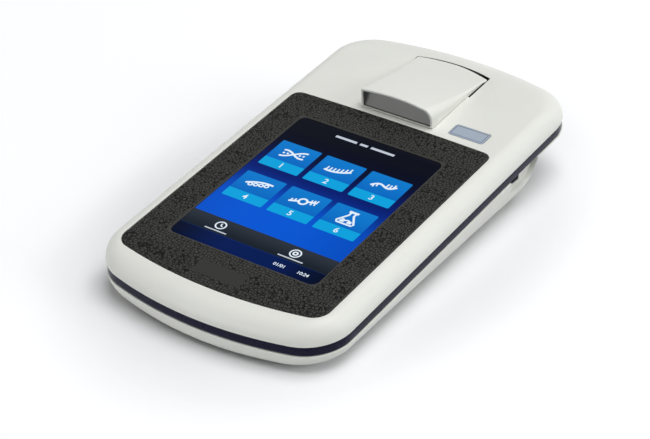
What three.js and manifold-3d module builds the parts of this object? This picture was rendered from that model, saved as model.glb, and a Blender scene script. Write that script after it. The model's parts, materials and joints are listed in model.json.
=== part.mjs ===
// Bench fluorometer: a touch-screen reader for one 0.5 ml sample tube, with a hinged lid over the tube.
// Millimetres, +Z up, +Y to the rear, +X to the right. The origin is at the table, under the middle of the case.
// The top face (deck) slopes up to the rear. What follows the deck is built in the deck's own frame, which has its
// origin at the centre of the screen window; what stands upright inside is built in the part's frame.
import * as THREE from 'three';
import { mergeVertices } from 'three/addons/utils/BufferGeometryUtils.js';
import Module from 'manifold-3d';

const wasm = await Module();
wasm.setup();

// Case
const deckTiltDegrees = 4.64;
const screenHeight = 33;
const caseHalfWidth = 69.4;
const panelToFront = 12.7;
const lidToRear = 17.6;
const frontBow = 200;
const frontCorner = 25;
const rearBow = 220;
const rearCorner = 27;
const shellWall = 2.4;
const gap = 0.3;
const cutOver = 2;

// Upper shell
const beltDrop = 10.6;
const sideRound = 8.7;
const frontRound = 11.9;
const rearRound = 19;
const topFrontCorner = 9.7;
const topRearCorner = 14;
const topFrontBow = 240;

// Belt and seam
const beltHeight = 4.8;
const beltThickness = 3;
const lipThickness = 1.5;
const lipRise = 1.2;
const shelfDepth = 3;

// Lower shell
const baseHeight = 1.6;
const baseSideInset = 14.4;
const baseFrontInset = 3;
const baseRearInset = 30;
const baseTailInset = 26.4;
const taperBehindTube = 4.1;
const taperLength = 15;
const hullSideShares = [0.86, 0.88, 0.9, 0.92, 0.94];

// Recess at the right side, open at the seam, with the port in its front half
const recessToRear = 78.1;
const recessLength = 27.2;
const recessDrop = 24.8;
const recessDepth = 3.7;
const recessWall = 1.8;
const recessFrontRound = 2.5;
const recessRearRound = 9;

// Front panel and window
const bezelInset = 9.4;
const windowToFront = 26.3;
const windowToRear = 19.4;
const bezelThickness = 1.2;
const bezelFrontBow = 240;
const bezelRearBow = 1500;
const bezelFrontCorner = 9;
const bezelRearCorner = 5;
const windowInset = 16.8;
const windowLength = 115.2;
const windowCorner = 4;
const trayRim = 2;
const trayDepth = 4.2;

// Display stack
const glassBorder = 4.8;
const glassThickness = 1.1;
const paneDrop = 0.4;
const lcdSideMargin = 7.8;
const lcdEndMargin = 7.9;
const lcdThickness = 2.2;
const backlightThickness = 2.8;
const frameSideMargin = 1;
const frameEndMargin = 10;
const frameThickness = 1;
const framePortLength = 40;
const framePortWidth = 60;
const displayScrewInset = 3.2;
const displayScrewEnd = 4.9;

// Screws, screw holes and bosses
const smallScrewRadius = 1.2;
const smallScrewHead = 2.3;
const smallScrewHeadHeight = 1.4;
const smallScrewGrip = 2.6;
const smallBossRadius = 3;
const caseScrewRadius = 1.5;
const caseScrewHead = 2.8;
const caseScrewHeadHeight = 2.2;
const caseScrewGrip = 7;
const caseScrewSeat = 3;
const caseScrewInset = 12.1;
const caseScrewToFront = 38.8;
const caseScrewBehindTube = 12.1;
const caseBossRadius = 4;
const lowerBossRadius = 5;

// Feet
const footRadius = 6;
const footSeat = 0.9;
const footInset = 35.4;
const footToFront = 52.8;
const footAheadOfTube = 9.9;

// Lid and its hinge
const lidHalfWidth = 21.7;
const lidBehindPanel = 3.5;
const lidLength = 59.3;
const lidRearBow = 77;
const lidHeight = 12.7;
const lidRearThickness = 2.4;
const lidCrown = 1.4;
const lidCorner = 6;
const lidLeftCorner = 1.4;
const lidWall = 1.6;
const lidFootGap = 0.4;
const lidSlopePower = 1.3;
const lidRearWall = 5;
const fingerDepth = 6;
const fingerFoot = 1.2;
const fingerSill = 0.6;
const fingerRim = 1.2;
const bayBehindLidFront = 35.8;
const bayGap = 0.9;
const bayWall = 2;
const bayLip = 1.2;
const baySwing = 1.4;
const hingeInset = 7.8;
const hingeDrop = 3.2;
const pinRadius = 1.2;
const knuckleRadius = 2.9;
const knuckleWidth = 7;
const knuckleX = 15;

// Lid liner, light seal and catch
const linerLift = 2;
const linerThickness = 1.3;
const linerHole = 8;
const linerLength = 22;
const sealInner = 9;
const sealOuter = 10.4;
const sealLift = 0.35;
const magnetRadius = 2.2;
const magnetHeight = 1.8;
const magnetX = 16.5;
const magnetAhead = 6;
const sensorWidth = 8;
const sensorThickness = 1.6;

// Badge
const badgeInset = 29;
const badgeBehindPanel = 9.7;
const badgeWidth = 20.2;
const badgeLength = 9.4;
const badgeThickness = 0.8;
const badgeSeat = 0.7;
const badgeCorner = 1.2;

// Sample tube well and optics
const tubeBehindLidFront = 19;
const tubeRadius = 4;
const tubeDepth = 30;
const sleeveWall = 1.5;
const flangeRadius = 8.5;
const flangeThickness = 1.3;
const portBossRadius = 12;
const portBossDepth = 3.6;
const blockHalf = 14;
const blockHeight = 20;
const blockFloor = 1.3;
const opticalRise = 7.5;
const windowRadius = 2;
const barrelRadius = 3.6;
const barrelWall = 1.9;
const filterThickness = 1.6;
const filterRadius = 3.2;
const ledRadius = 2.5;
const ledLength = 4.2;
const photodiodeRadius = 3;
const photodiodeLength = 3.4;
const opticsBoardWidth = 13;
const opticsBoardHeight = 12;
const boardThickness = 1.6;
const earLength = 7;
const earWidth = 8;
const earThickness = 3;

// Main board and what it carries
const mainBoardInset = 14.4;
const mainBoardAheadOfChip = 24;
const mainBoardAheadOfTube = 0.9;
const mainBoardNotchHalf = 24;
const mainBoardNotch = 21;
const mainScrewInset = 5;
const processorSize = 18;
const processorHeight = 1.6;
const cellRadius = 10;
const cellHeight = 3.2;
const holderWall = 1.2;
const holderFloor = 0.8;
const buzzerRadius = 6;
const buzzerHeight = 4;

// Ports
const usbWidth = 13.1;
const usbHeight = 5.7;
const usbLength = 14;
const usbMetal = 0.5;
const usbTongue = 1.8;
const usbProud = 0.3;
const usbBehindRecessFront = 7.5;
const usbDrop = 19.25;
const ioBoardHalfWidth = 21;
const ioBoardBehindTube = 18.6;
const ioBoardLength = 10.5;
const ioBoardHeight = 9;
const panelBehindBoard = 7;
const panelHalfWidth = 28;
const panelBottom = 9.6;
const panelTop = 23;
const dcX = -12;
const dcWidth = 9;
const dcLength = 14;
const dcHeight = 11;
const dcNoseRadius = 4.4;
const dcBore = 3.1;
const dcPin = 1;
const dcBoreDepth = 9;
const miniX = 11;
const miniWidth = 7.7;
const miniLength = 9.2;
const miniHeight = 4;
const miniMetal = 0.4;
const miniBack = 3;
const portWay = 2.2;

// Ribbon cables
const ribbonThickness = 0.4;
const displayRibbonWidth = 20;
const displayRibbonY = 12;
const displayRibbonReach = 10;
const opticsRibbonWidth = 8;
const opticsRibbonReach = 9;

// How finely round stretches are divided
const bowSteps = 4;
const cornerSteps = 4;
const roundSteps = 5;
const screwSides = 8;
const roundSides = 20;
const coarseSides = 12;

// Worked out across the case, from its width
const bezelHalfWidth = caseHalfWidth - bezelInset;
const windowWidth = 2 * (bezelHalfWidth - windowInset);
const lcdWidth = windowWidth + 2 * lcdSideMargin;
const frameWidth = lcdWidth + 2 * frameSideMargin;
const displayScrewX = windowWidth / 2 - displayScrewInset;
const badgeX = caseHalfWidth - badgeInset;
const caseScrewX = caseHalfWidth - caseScrewInset;
const footX = caseHalfWidth - footInset;
const mainBoardHalfWidth = caseHalfWidth - mainBoardInset;

// Worked out along the deck, from the window to both ends of the case
const lcdLength = windowLength + 2 * lcdEndMargin;
const frameLength = lcdLength + 2 * frameEndMargin;
const displayScrewY = frameLength / 2 - displayScrewEnd;
const bezelFront = windowLength / 2 + windowToFront;
const bezelRear = windowLength / 2 + windowToRear;
const screenToFront = bezelFront + panelToFront;
const badgeY = bezelRear + badgeBehindPanel;
const lidFront = bezelRear + lidBehindPanel;
const tubeY = lidFront + tubeBehindLidFront;
const bayFront = lidFront + bayBehindLidFront;
const lidRearMiddle = lidFront + lidLength;
const hingeY = lidRearMiddle - hingeInset;
const screenToRear = lidRearMiddle + lidToRear;
const recessFront = screenToRear - recessToRear;
const recessRear = recessFront + recessLength;
const usbY = recessFront + usbBehindRecessFront;

// Worked out from the sizes above
const tilt = THREE.MathUtils.degToRad(deckTiltDegrees);
const rise = Math.tan(tilt);
const beltBottom = beltDrop + beltHeight;
const seam = beltBottom + gap;
const frontReach = screenToFront * Math.cos(tilt) - (beltDrop - gap) * Math.sin(tilt);
const rearReach = screenToRear * Math.cos(tilt) + seam * Math.sin(tilt);
const screenY = (frontReach - rearReach) / 2;
const deckMatrix = new THREE.Matrix4().makeRotationX(tilt).setPosition(0, screenY, screenHeight);
const deckInverse = deckMatrix.clone().invert();

// A point of the deck's frame in the part's frame.
const onPart = (x, y, z) => new THREE.Vector3(x, y, z).applyMatrix4(deckMatrix);
// Height in the part's frame of the plane that lies depth below the deck, at the part's y.
const deckLevel = (y, depth) => screenHeight - depth / Math.cos(tilt) + (y - screenY) * rise;

// Places along the part's frame, from the case's front end and from the tube
const caseFront = (frontReach + rearReach) / 2;
const tubeAlong = onPart(0, tubeY, 0).y;
const caseScrewFront = caseFront - caseScrewToFront;
const caseScrewRear = tubeAlong + caseScrewBehindTube;
const footFront = caseFront - footToFront;
const footRear = tubeAlong - footAheadOfTube;
const mainBoardRear = tubeAlong - mainBoardAheadOfTube;
const mainBoardFront = 2 * processorSize + mainBoardAheadOfChip;
const taperFrom = tubeAlong + taperBehindTube;
const taperTo = taperFrom + taperLength;
const ioBoardFront = tubeAlong + ioBoardBehindTube;
const ioBoardRear = ioBoardFront + ioBoardLength;
const panelY = ioBoardRear + panelBehindBoard;

const mix = (a, b, t) => a + (b - a) * t;

// Materials
const colours = {
  whitePlastic: new THREE.MeshStandardMaterial({ color: 0xe4e5e1, roughness: 0.42 }),
  navyTrim: new THREE.MeshStandardMaterial({ color: 0x1b1a3c, roughness: 0.35 }),
  darkPanel: new THREE.MeshStandardMaterial({ color: 0x3a3835, roughness: 0.6 }),
  glass: new THREE.MeshStandardMaterial({ color: 0x0c1e4c, roughness: 0.1 }),
  display: new THREE.MeshStandardMaterial({ color: 0x0b49c8, roughness: 0.25 }),
  steel: new THREE.MeshStandardMaterial({ color: 0xb9bcc0, roughness: 0.35, metalness: 1 }),
  badge: new THREE.MeshStandardMaterial({ color: 0x9fb0c0, roughness: 0.3, metalness: 0.6 }),
  blackPlastic: new THREE.MeshStandardMaterial({ color: 0x17181a, roughness: 0.55 }),
  circuitBoard: new THREE.MeshStandardMaterial({ color: 0x1d5a34, roughness: 0.5 }),
  rubber: new THREE.MeshStandardMaterial({ color: 0x222326, roughness: 0.85 }),
  blueFilter: new THREE.MeshStandardMaterial({ color: 0x2a63d8, roughness: 0.1 }),
  redFilter: new THREE.MeshStandardMaterial({ color: 0xc22a22, roughness: 0.1 }),
  greenFilter: new THREE.MeshStandardMaterial({ color: 0x2fae57, roughness: 0.1 }),
  ribbon: new THREE.MeshStandardMaterial({ color: 0xd8cdb0, roughness: 0.5 }),
};

// A closed geometry as a solid, and a solid as a geometry.
function solid(geometry) {
  const bare = geometry.index ? geometry.toNonIndexed() : geometry.clone();
  bare.deleteAttribute('normal');
  bare.deleteAttribute('uv');
  const merged = mergeVertices(bare, gap / 1000);
  return new wasm.Manifold(new wasm.Mesh({
    numProp: 3,
    vertProperties: merged.attributes.position.array,
    triVerts: new Uint32Array(merged.index.array),
  }));
}

function geometryOf(shape) {
  const mesh = shape.getMesh();
  const geometry = new THREE.BufferGeometry();
  geometry.setAttribute('position', new THREE.BufferAttribute(new Float32Array(mesh.vertProperties), 3));
  geometry.setIndex(new THREE.BufferAttribute(new Uint32Array(mesh.triVerts), 1));
  geometry.computeVertexNormals();
  return geometry;
}

const join = (first, ...rest) => rest.reduce((whole, one) => whole.add(one), first);
const cut = (first, ...rest) => rest.reduce((whole, one) => whole.subtract(one), first);

// A box between two corners.
function block(x0, x1, y0, y1, z0, z1) {
  const geometry = new THREE.BoxGeometry(x1 - x0, y1 - y0, z1 - z0);
  return geometry.translate((x0 + x1) / 2, (y0 + y1) / 2, (z0 + z1) / 2);
}

// A cylinder along Z, X or Y between two ends.
function post(radius, x, y, z0, z1, sides = roundSides) {
  const geometry = new THREE.CylinderGeometry(radius, radius, z1 - z0, sides);
  return geometry.rotateX(Math.PI / 2).translate(x, y, (z0 + z1) / 2);
}

function postX(radius, y, z, x0, x1, sides = roundSides) {
  const geometry = new THREE.CylinderGeometry(radius, radius, x1 - x0, sides);
  return geometry.rotateZ(Math.PI / 2).translate((x0 + x1) / 2, y, z);
}

function postY(radius, x, z, y0, y1, sides = roundSides) {
  const geometry = new THREE.CylinderGeometry(radius, radius, y1 - y0, sides);
  return geometry.translate(x, (y0 + y1) / 2, z);
}

// A screw that points up: a head with a bevelled rim under a shaft, from its seat down and up.
function screw(radius, head, headHeight, grip, x, y, seat) {
  const bevel = headHeight / 4;
  const profile = [
    [0, -headHeight], [head - bevel, -headHeight], [head, bevel - headHeight], [head, 0],
    [radius, 0], [radius, grip - bevel], [radius - bevel, grip], [0, grip],
  ];
  const geometry = new THREE.LatheGeometry(profile.map(([r, z]) => new THREE.Vector2(r, z)), screwSides);
  return geometry.rotateX(Math.PI / 2).translate(x, y, seat);
}

// An upright prism of an outline, and one lying along X whose outline is given in y and z.
function prism(shape, z0, z1) {
  return new THREE.ExtrudeGeometry(shape, { depth: z1 - z0, bevelEnabled: false, curveSegments: cornerSteps })
    .translate(0, 0, z0);
}

function prismX(points, x0, x1) {
  const shape = new THREE.Shape(points.map(([y, z]) => new THREE.Vector2(y, z)));
  return new THREE.ExtrudeGeometry(shape, { depth: x1 - x0, bevelEnabled: false })
    .applyMatrix4(new THREE.Matrix4().makeBasis(
      new THREE.Vector3(0, 1, 0), new THREE.Vector3(0, 0, 1), new THREE.Vector3(1, 0, 0)))
    .translate(x0, 0, 0);
}

// A skin over rings of points, closed by a fan at each end. The rings run counter-clockwise, the lowest ring first.
function loft(rings) {
  const count = rings[0].length;
  const middle = (ring) => ring.reduce((sum, p) => sum.add(p), new THREE.Vector3()).divideScalar(count);
  const points = [...rings.flat(), middle(rings[0]), middle(rings[rings.length - 1])];
  const index = [];
  for (let r = 0; r < rings.length - 1; r += 1) {
    for (let i = 0; i < count; i += 1) {
      const a = r * count + i;
      const b = r * count + ((i + 1) % count);
      index.push(a, b, b + count, a, b + count, a + count);
    }
  }
  const last = (rings.length - 1) * count;
  for (let i = 0; i < count; i += 1) {
    const next = (i + 1) % count;
    index.push(points.length - 2, next, i);
    index.push(points.length - 1, last + i, last + next);
  }
  const geometry = new THREE.BufferGeometry().setFromPoints(points);
  geometry.setIndex(index);
  return geometry;
}

// Half of a case outline, from the middle of the front round the right to the middle of the rear: a bowed end, a
// corner arc tangent to the bow and to the side, the straight side, and the same at the rear.
function halfEnd(half, bow, corner) {
  const cornerX = half - corner;
  const drop = bow - Math.sqrt((bow - corner) ** 2 - cornerX ** 2);
  const turn = Math.asin(cornerX / (bow - corner));
  const points = [];
  for (let i = 0; i < bowSteps; i += 1) {
    const angle = (turn * i) / bowSteps;
    points.push([bow * Math.sin(angle), bow - bow * Math.cos(angle)]);
  }
  for (let i = 0; i <= cornerSteps; i += 1) {
    const angle = mix(turn, Math.PI / 2, i / cornerSteps);
    points.push([cornerX + corner * Math.sin(angle), drop - corner * Math.cos(angle)]);
  }
  return points;
}

function outline({
  half, front, rear, frontBow: bowF, frontCorner: cornerF, rearBow: bowR, rearCorner: cornerR, sideShares = [],
}) {
  const fore = halfEnd(half, bowF, cornerF).map(([x, y]) => [x, y - front]);
  const aft = halfEnd(half, bowR, cornerR).map(([x, y]) => [x, rear - y]).reverse();
  const side = sideShares.map((share) => [half, mix(fore[fore.length - 1][1], aft[0][1], share)]);
  const right = [...fore, ...side, ...aft];
  const left = right.slice(1, -1).map(([x, y]) => [-x, y]).reverse();
  return [...right, ...left].map(([x, y]) => new THREE.Vector2(x, y));
}

// The case's outline drawn in by an inset that is the same all round.
function caseOutline(inset, sideShares = []) {
  return outline({
    half: caseHalfWidth - inset,
    front: screenToFront - inset,
    rear: screenToRear - inset,
    frontBow: frontBow - inset,
    frontCorner: frontCorner - inset,
    rearBow: rearBow - inset,
    rearCorner: rearCorner - inset,
    sideShares,
  });
}

const ring = (points, z) => points.map((p) => new THREE.Vector3(p.x, p.y, z));
const panelShape = (grow) => new THREE.Shape(outline({
  half: bezelHalfWidth + grow,
  front: bezelFront + grow,
  rear: bezelRear + grow,
  frontBow: bezelFrontBow + grow,
  frontCorner: bezelFrontCorner + grow,
  rearBow: bezelRearBow + grow,
  rearCorner: bezelRearCorner + grow,
}));

// A rectangle with round corners, centred at x, y.
function roundedRectangle(width, length, corner, x = 0, y = 0) {
  const shape = new THREE.Shape();
  const right = x + width / 2;
  const left = x - width / 2;
  const back = y + length / 2;
  const near = y - length / 2;
  shape.absarc(right - corner, near + corner, corner, -Math.PI / 2, 0);
  shape.absarc(right - corner, back - corner, corner, 0, Math.PI / 2);
  shape.absarc(left + corner, back - corner, corner, Math.PI / 2, Math.PI);
  shape.absarc(left + corner, near + corner, corner, Math.PI, Math.PI * 1.5);
  return shape;
}

const root = new THREE.Group();
const deck = new THREE.Group();
deck.position.set(0, screenY, screenHeight);
deck.rotation.x = tilt;
root.add(deck);

// Names a piece and hangs it in a group.
function piece(name, shape, material, group) {
  const geometry = shape.isBufferGeometry ? shape : geometryOf(shape);
  const mesh = new THREE.Mesh(geometry, material);
  mesh.name = name;
  group.add(mesh);
  return mesh;
}

// The upper shell's skin: quarter ellipses from the belt up to the deck, drawn in by a wall for the inside.
function upperSkin(wall) {
  const rings = [];
  if (wall > 0) rings.push(ring(caseOutline(wall), -beltDrop - cutOver));
  for (let i = 0; i <= roundSteps; i += 1) {
    const angle = (Math.PI / 2) * (i / roundSteps);
    const share = 1 - Math.cos(angle);
    const lift = wall > 0 ? 0 : gap * (1 - Math.sin(angle));
    rings.push(ring(outline({
      half: caseHalfWidth - wall - (sideRound - wall) * share,
      front: screenToFront - wall - (frontRound - wall) * share,
      rear: screenToRear - wall - (rearRound - wall) * share,
      frontBow: mix(frontBow - wall, topFrontBow, share),
      frontCorner: mix(frontCorner - wall, topFrontCorner, share),
      rearBow: rearBow - wall,
      rearCorner: mix(rearCorner - wall, topRearCorner, share),
    }), -beltDrop + (beltDrop - wall) * Math.sin(angle) + lift));
  }
  return loft(rings);
}

// The lid's rear edge as seen from above, grown by an amount: an arc through the middle of the rear.
function lidPlan(front, grow, rearGrow = grow) {
  const half = lidHalfWidth + grow;
  const centre = lidRearMiddle - lidRearBow;
  const radius = lidRearBow + rearGrow;
  const turn = Math.asin(half / radius);
  const shape = new THREE.Shape();
  shape.moveTo(-half, front);
  shape.lineTo(half, front);
  for (let i = 0; i <= cornerSteps; i += 1) {
    const angle = mix(turn, -turn, i / cornerSteps);
    shape.lineTo(radius * Math.sin(angle), centre + radius * Math.cos(angle));
  }
  return shape;
}

// One cross-section of the lid at y: upright sides, a round corner at the right and a tight one at the left, and a
// crown. What falls to the rear is its height.
function lidSection(y, inset, floor) {
  const along = (y - lidFront) / (lidRearMiddle - lidFront);
  const share = Math.max(0, 1 - along) ** lidSlopePower;
  const half = lidHalfWidth - inset;
  const top = lidHeight * share - inset;
  const crown = lidCrown * share;
  const edge = (fullCorner) => {
    const corner = Math.max(fullCorner * share, lidWall / 2) * ((half - inset) / half);
    const points = [];
    for (let i = 0; i <= cornerSteps; i += 1) {
      const angle = (Math.PI / 2) * (i / cornerSteps);
      const lift = corner * (Math.sin(angle) - 1);
      points.push(new THREE.Vector3(half - corner * (1 - Math.cos(angle)), y, top - crown + lift));
    }
    for (let i = 1; i < bowSteps; i += 1) {
      const across = 1 - i / bowSteps;
      points.push(new THREE.Vector3((half - corner) * across, y, top - crown * across ** 2));
    }
    return points;
  };
  const left = edge(lidLeftCorner).map((p) => new THREE.Vector3(-p.x, y, p.z)).reverse();
  return [new THREE.Vector3(-half, y, floor), new THREE.Vector3(half, y, floor), ...edge(lidCorner),
    new THREE.Vector3(0, y, top), ...left];
}

function lidBody(y0, y1, inset, floor) {
  const stations = Array.from({ length: roundSteps + 1 }, (_, i) => mix(y1, y0, i / roundSteps));
  return loft(stations.map((y) => lidSection(y, inset, floor)));
}

function upperHousing() {
  const envelope = solid(upperSkin(0));
  const hollow = solid(upperSkin(shellWall));
  const bosses = caseScrews();
  const intoDeck = (geometry) => solid(geometry.applyMatrix4(deckInverse));
  const screenBosses = [-1, 1].flatMap((x) => [-1, 1].map((y) => [x * displayScrewX, y * displayScrewY]));
  const lcdTop = bezelThickness + gap + glassThickness + gap;
  const frameTop = lcdTop + lcdThickness + gap + backlightThickness + gap;
  const bayDepth = hingeDrop + (lidRearMiddle - hingeY) + baySwing;
  let shell = cut(envelope, hollow);
  shell = join(shell, solid(prism(panelShape(trayRim), -trayDepth, -bezelThickness)));
  for (const [x, y] of screenBosses) {
    shell = join(shell, solid(post(smallBossRadius, x, y, gap - frameTop, -trayDepth / 2, coarseSides)));
  }
  const reach = (y) => [deckLevel(y, seam) - shelfDepth + gap, deckLevel(y, shellWall / 2)];
  for (const [x, y] of bosses) {
    const [from, to] = reach(y);
    shell = join(shell, intoDeck(post(caseBossRadius, x, y, from, to, coarseSides)).intersect(join(envelope, hollow)));
  }
  const bayOuter = solid(prism(lidPlan(bayFront - bayWall, bayGap + bayWall, bayGap + baySwing + bayWall),
    -bayDepth - bayWall, -shellWall / 2));
  shell = join(shell, bayOuter.intersect(join(envelope, hollow)));
  shell = join(shell, solid(post(portBossRadius, 0, tubeY, -portBossDepth, -shellWall / 2)));
  shell = cut(
    shell,
    solid(prism(panelShape(gap), -bezelThickness - gap, cutOver)),
    solid(prism(roundedRectangle(windowWidth + 2 * (glassBorder + gap), windowLength + 2 * (glassBorder + gap),
      windowCorner), -trayDepth - cutOver, cutOver)),
    solid(block(-lcdWidth / 2 - gap, lcdWidth / 2 + gap, -lcdLength / 2 - gap, lcdLength / 2 + gap,
      -trayDepth - cutOver, gap - lcdTop)),
    solid(prism(lidPlan(bayFront, bayGap), -bayDepth, cutOver)),
    solid(prism(lidPlan(bayFront, bayGap, bayGap + baySwing), -bayDepth, -bayLip)),
    solid(postX(pinRadius + gap / 2, hingeY, -hingeDrop, -lidHalfWidth - bayGap - bayWall - cutOver,
      lidHalfWidth + bayGap + bayWall + cutOver, coarseSides)),
    solid(post(flangeRadius + gap, 0, tubeY, -flangeThickness - 2 * gap, cutOver)),
    intoDeck(post(tubeRadius + sleeveWall + gap, 0, onPart(0, tubeY, 0).y, deckLevel(0, 0) - screenHeight / 2,
      deckLevel(onPart(0, tubeY, 0).y, 0) + cutOver)),
    solid(prism(roundedRectangle(badgeWidth + 2 * gap, badgeLength + 2 * gap, badgeCorner, badgeX, badgeY),
      -badgeSeat - gap, cutOver)),
  );
  for (const [x, y] of screenBosses) {
    shell = cut(shell, solid(post(smallScrewRadius + gap / 2, x, y, -frameTop - cutOver, -trayDepth, screwSides)));
  }
  for (const [x, y] of bosses) {
    const [from] = reach(y);
    shell = cut(shell, intoDeck(post(caseScrewRadius + gap / 2, x, y, from - cutOver,
      from + caseScrewGrip + gap - caseScrewSeat, screwSides)));
  }
  return shell;
}

// Rings of the hull from its flat base up to the seam, which lies in the deck's plane. The base is the seam's outline
// drawn in towards its middle. Each ring goes a share of the way in and down: a quarter ellipse at the front and the
// sides, and behind the recess a straight taper to a narrower tail, so that the rear of the case hangs over.
function hullRings(inset, floor) {
  const halfLength = caseFront;
  const frontScale = 1 - baseFrontInset / halfLength;
  const rearScale = 1 - baseRearInset / halfLength;
  const edge = ring(caseOutline(inset, hullSideShares), -seam).map((p) => p.applyMatrix4(deckMatrix));
  const rings = [];
  for (let i = roundSteps; i >= 0; i -= 1) {
    const angle = (Math.PI / 2) * (i / roundSteps);
    rings.push(edge.map((p) => {
      const taper = THREE.MathUtils.smoothstep(p.y, taperFrom, taperTo);
      const share = mix(1 - Math.cos(angle), Math.sin(angle), taper);
      const sideScale = 1 - mix(baseSideInset, baseTailInset, taper) / caseHalfWidth;
      const alongScale = p.y > 0 ? rearScale : frontScale;
      return new THREE.Vector3(p.x * mix(1, sideScale, share), p.y * mix(1, alongScale, share),
        mix(p.z, floor, Math.sin(angle)));
    }));
  }
  return rings;
}

// The room of the recess at the right, in the deck's frame, grown by its wall: round at its two lower corners.
function recess(wall) {
  const front = recessFront - wall;
  const rear = recessRear + wall;
  const low = -recessDrop - wall;
  const points = [[rear, -seam + cutOver], [front, -seam + cutOver]];
  for (let i = 0; i <= cornerSteps; i += 1) {
    const angle = (Math.PI / 2) * (i / cornerSteps);
    const round = recessFrontRound + wall;
    points.push([front + round * (1 - Math.cos(angle)), low + round * (1 - Math.sin(angle))]);
  }
  for (let i = 0; i <= cornerSteps; i += 1) {
    const angle = (Math.PI / 2) * (i / cornerSteps);
    const round = recessRearRound + wall;
    points.push([rear - round * (1 - Math.sin(angle)), low + round * (1 - Math.cos(angle))]);
  }
  return prismX(points, caseHalfWidth - recessDepth - wall, caseHalfWidth + cutOver);
}

function lowerHousing() {
  const hull = solid(loft(hullRings(0, baseHeight)));
  const floor = baseHeight + shellWall;
  const neckInset = beltThickness + gap + lipThickness;
  const inTilt = (geometry) => solid(geometry.applyMatrix4(deckMatrix));
  const shelf = inTilt(block(-caseHalfWidth, caseHalfWidth, -screenToFront, screenToRear, -seam - shelfDepth, 0));
  const inner = cut(solid(loft(hullRings(shellWall, floor))), shelf);
  const band = (inset, low, high) => inTilt(loft([ring(caseOutline(inset), -low), ring(caseOutline(inset), -high)]));
  const lip = band(beltThickness + gap, seam + shelfDepth / 2, beltDrop - lipRise);
  const neck = band(neckInset, seam + shelfDepth + gap, beltDrop - lipRise - cutOver);
  const panelBack = panelY - shellWall;
  const posts = [
    ...boardScrews().map(([x, y]) => post(smallBossRadius, x, y, floor - gap, boardLevel() - gap, coarseSides)),
    ...ioScrews().map(([x, y]) => post(smallBossRadius, x, y, floor - gap, ioBoardHeight - gap, coarseSides)),
    ...opticsScrews().map(([x, y]) => post(smallBossRadius, x, y, floor - gap, blockBottom() - gap, coarseSides)),
  ];
  const caseBosses = caseScrews().map(([x, y]) => [x, y, deckLevel(y, seam) - shelfDepth]);
  const body = join(hull, lip);
  let shell = cut(body, inner, neck);
  shell = join(shell, inTilt(recess(recessWall)).intersect(hull));
  const panelBlock = solid(block(-panelHalfWidth - shellWall, panelHalfWidth + shellWall, panelBack, rearReach,
    baseHeight + gap, panelTop + shellWall)).intersect(hull);
  shell = join(shell, panelBlock, ...posts.map(solid));
  for (const [x, y, top] of caseBosses) {
    shell = join(shell, solid(post(lowerBossRadius, x, y, baseHeight, top, coarseSides)).intersect(body));
  }
  for (const [x, y, top] of caseBosses) {
    const seat = top - caseScrewSeat;
    shell = cut(
      shell,
      solid(post(caseScrewHead + gap, x, y, -cutOver, seat, coarseSides)),
      solid(post(caseScrewRadius + gap / 2, x, y, seat - cutOver, top + cutOver, screwSides)),
    );
  }
  for (const [x, y] of [...boardScrews(), ...opticsScrews(), ...ioScrews()]) {
    shell = cut(shell, solid(post(smallScrewRadius + gap / 2, x, y, floor, boardLevel(), screwSides)));
  }
  for (const [x, y] of feet()) {
    shell = cut(shell, solid(post(footRadius + gap, x, y, -cutOver, baseHeight + footSeat)));
  }
  const usb = usbPlace();
  return cut(
    shell,
    solid(block(usb.back - gap, usb.mouth + cutOver, usb.y - usbWidth / 2 - gap, usb.y + usbWidth / 2 + gap,
      usb.z - usbHeight / 2 - gap, usb.z + usbHeight / 2 + gap)),
    solid(block(-panelHalfWidth, panelHalfWidth, panelY, rearReach + cutOver, panelBottom, panelTop)),
    solid(postY(dcNoseRadius + gap, dcX, dcCentre(), panelBack - cutOver, panelY + cutOver)),
    solid(block(miniX - miniWidth / 2 - gap, miniX + miniWidth / 2 + gap, panelBack - cutOver, panelY + cutOver,
      ioTop() - gap, ioTop() + miniHeight + gap)),
    inTilt(recess(0)),
  );
}

// Places that more than one piece uses
const ioTop = () => ioBoardHeight + boardThickness + gap;
const dcCentre = () => ioTop() + dcHeight / 2;
const mainTop = () => onPart(0, usbY, -usbDrop).z - usbHeight / 2;
const boardLevel = () => mainTop() - gap - boardThickness;
const tubePlace = () => onPart(0, tubeY, 0);
const tubeFloor = () => tubePlace().z - tubeDepth;
const blockBottom = () => tubeFloor() - sleeveWall - gap - blockFloor;
const opticalAxis = () => tubeFloor() + opticalRise;
const usbPlace = () => ({
  y: onPart(0, usbY, -usbDrop).y,
  z: mainTop() + usbHeight / 2,
  mouth: caseHalfWidth - recessDepth + usbProud,
  back: caseHalfWidth - recessDepth + usbProud - usbLength,
});
const caseScrews = () => [-1, 1].flatMap((side) => [-caseScrewFront, caseScrewRear].map((y) => [side * caseScrewX, y]));
const feet = () => [-1, 1].flatMap((side) => [-footFront, footRear].map((y) => [side * footX, y]));
const boardScrews = () => [-1, 1].flatMap((side) => [-mainBoardFront + mainScrewInset, mainBoardRear - mainScrewInset]
  .map((y) => [side * (mainBoardHalfWidth - mainScrewInset) - (y > 0 && side > 0 ? usbLength : 0), y]));
const ioScrews = () => [[0, ioBoardFront + mainScrewInset]];
const opticsScrews = () => [-1, 1].map((side) => [
  side * (blockHalf + earLength / 2 + gap),
  tubePlace().y + side * (blockHalf - earWidth / 2),
]);

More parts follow.
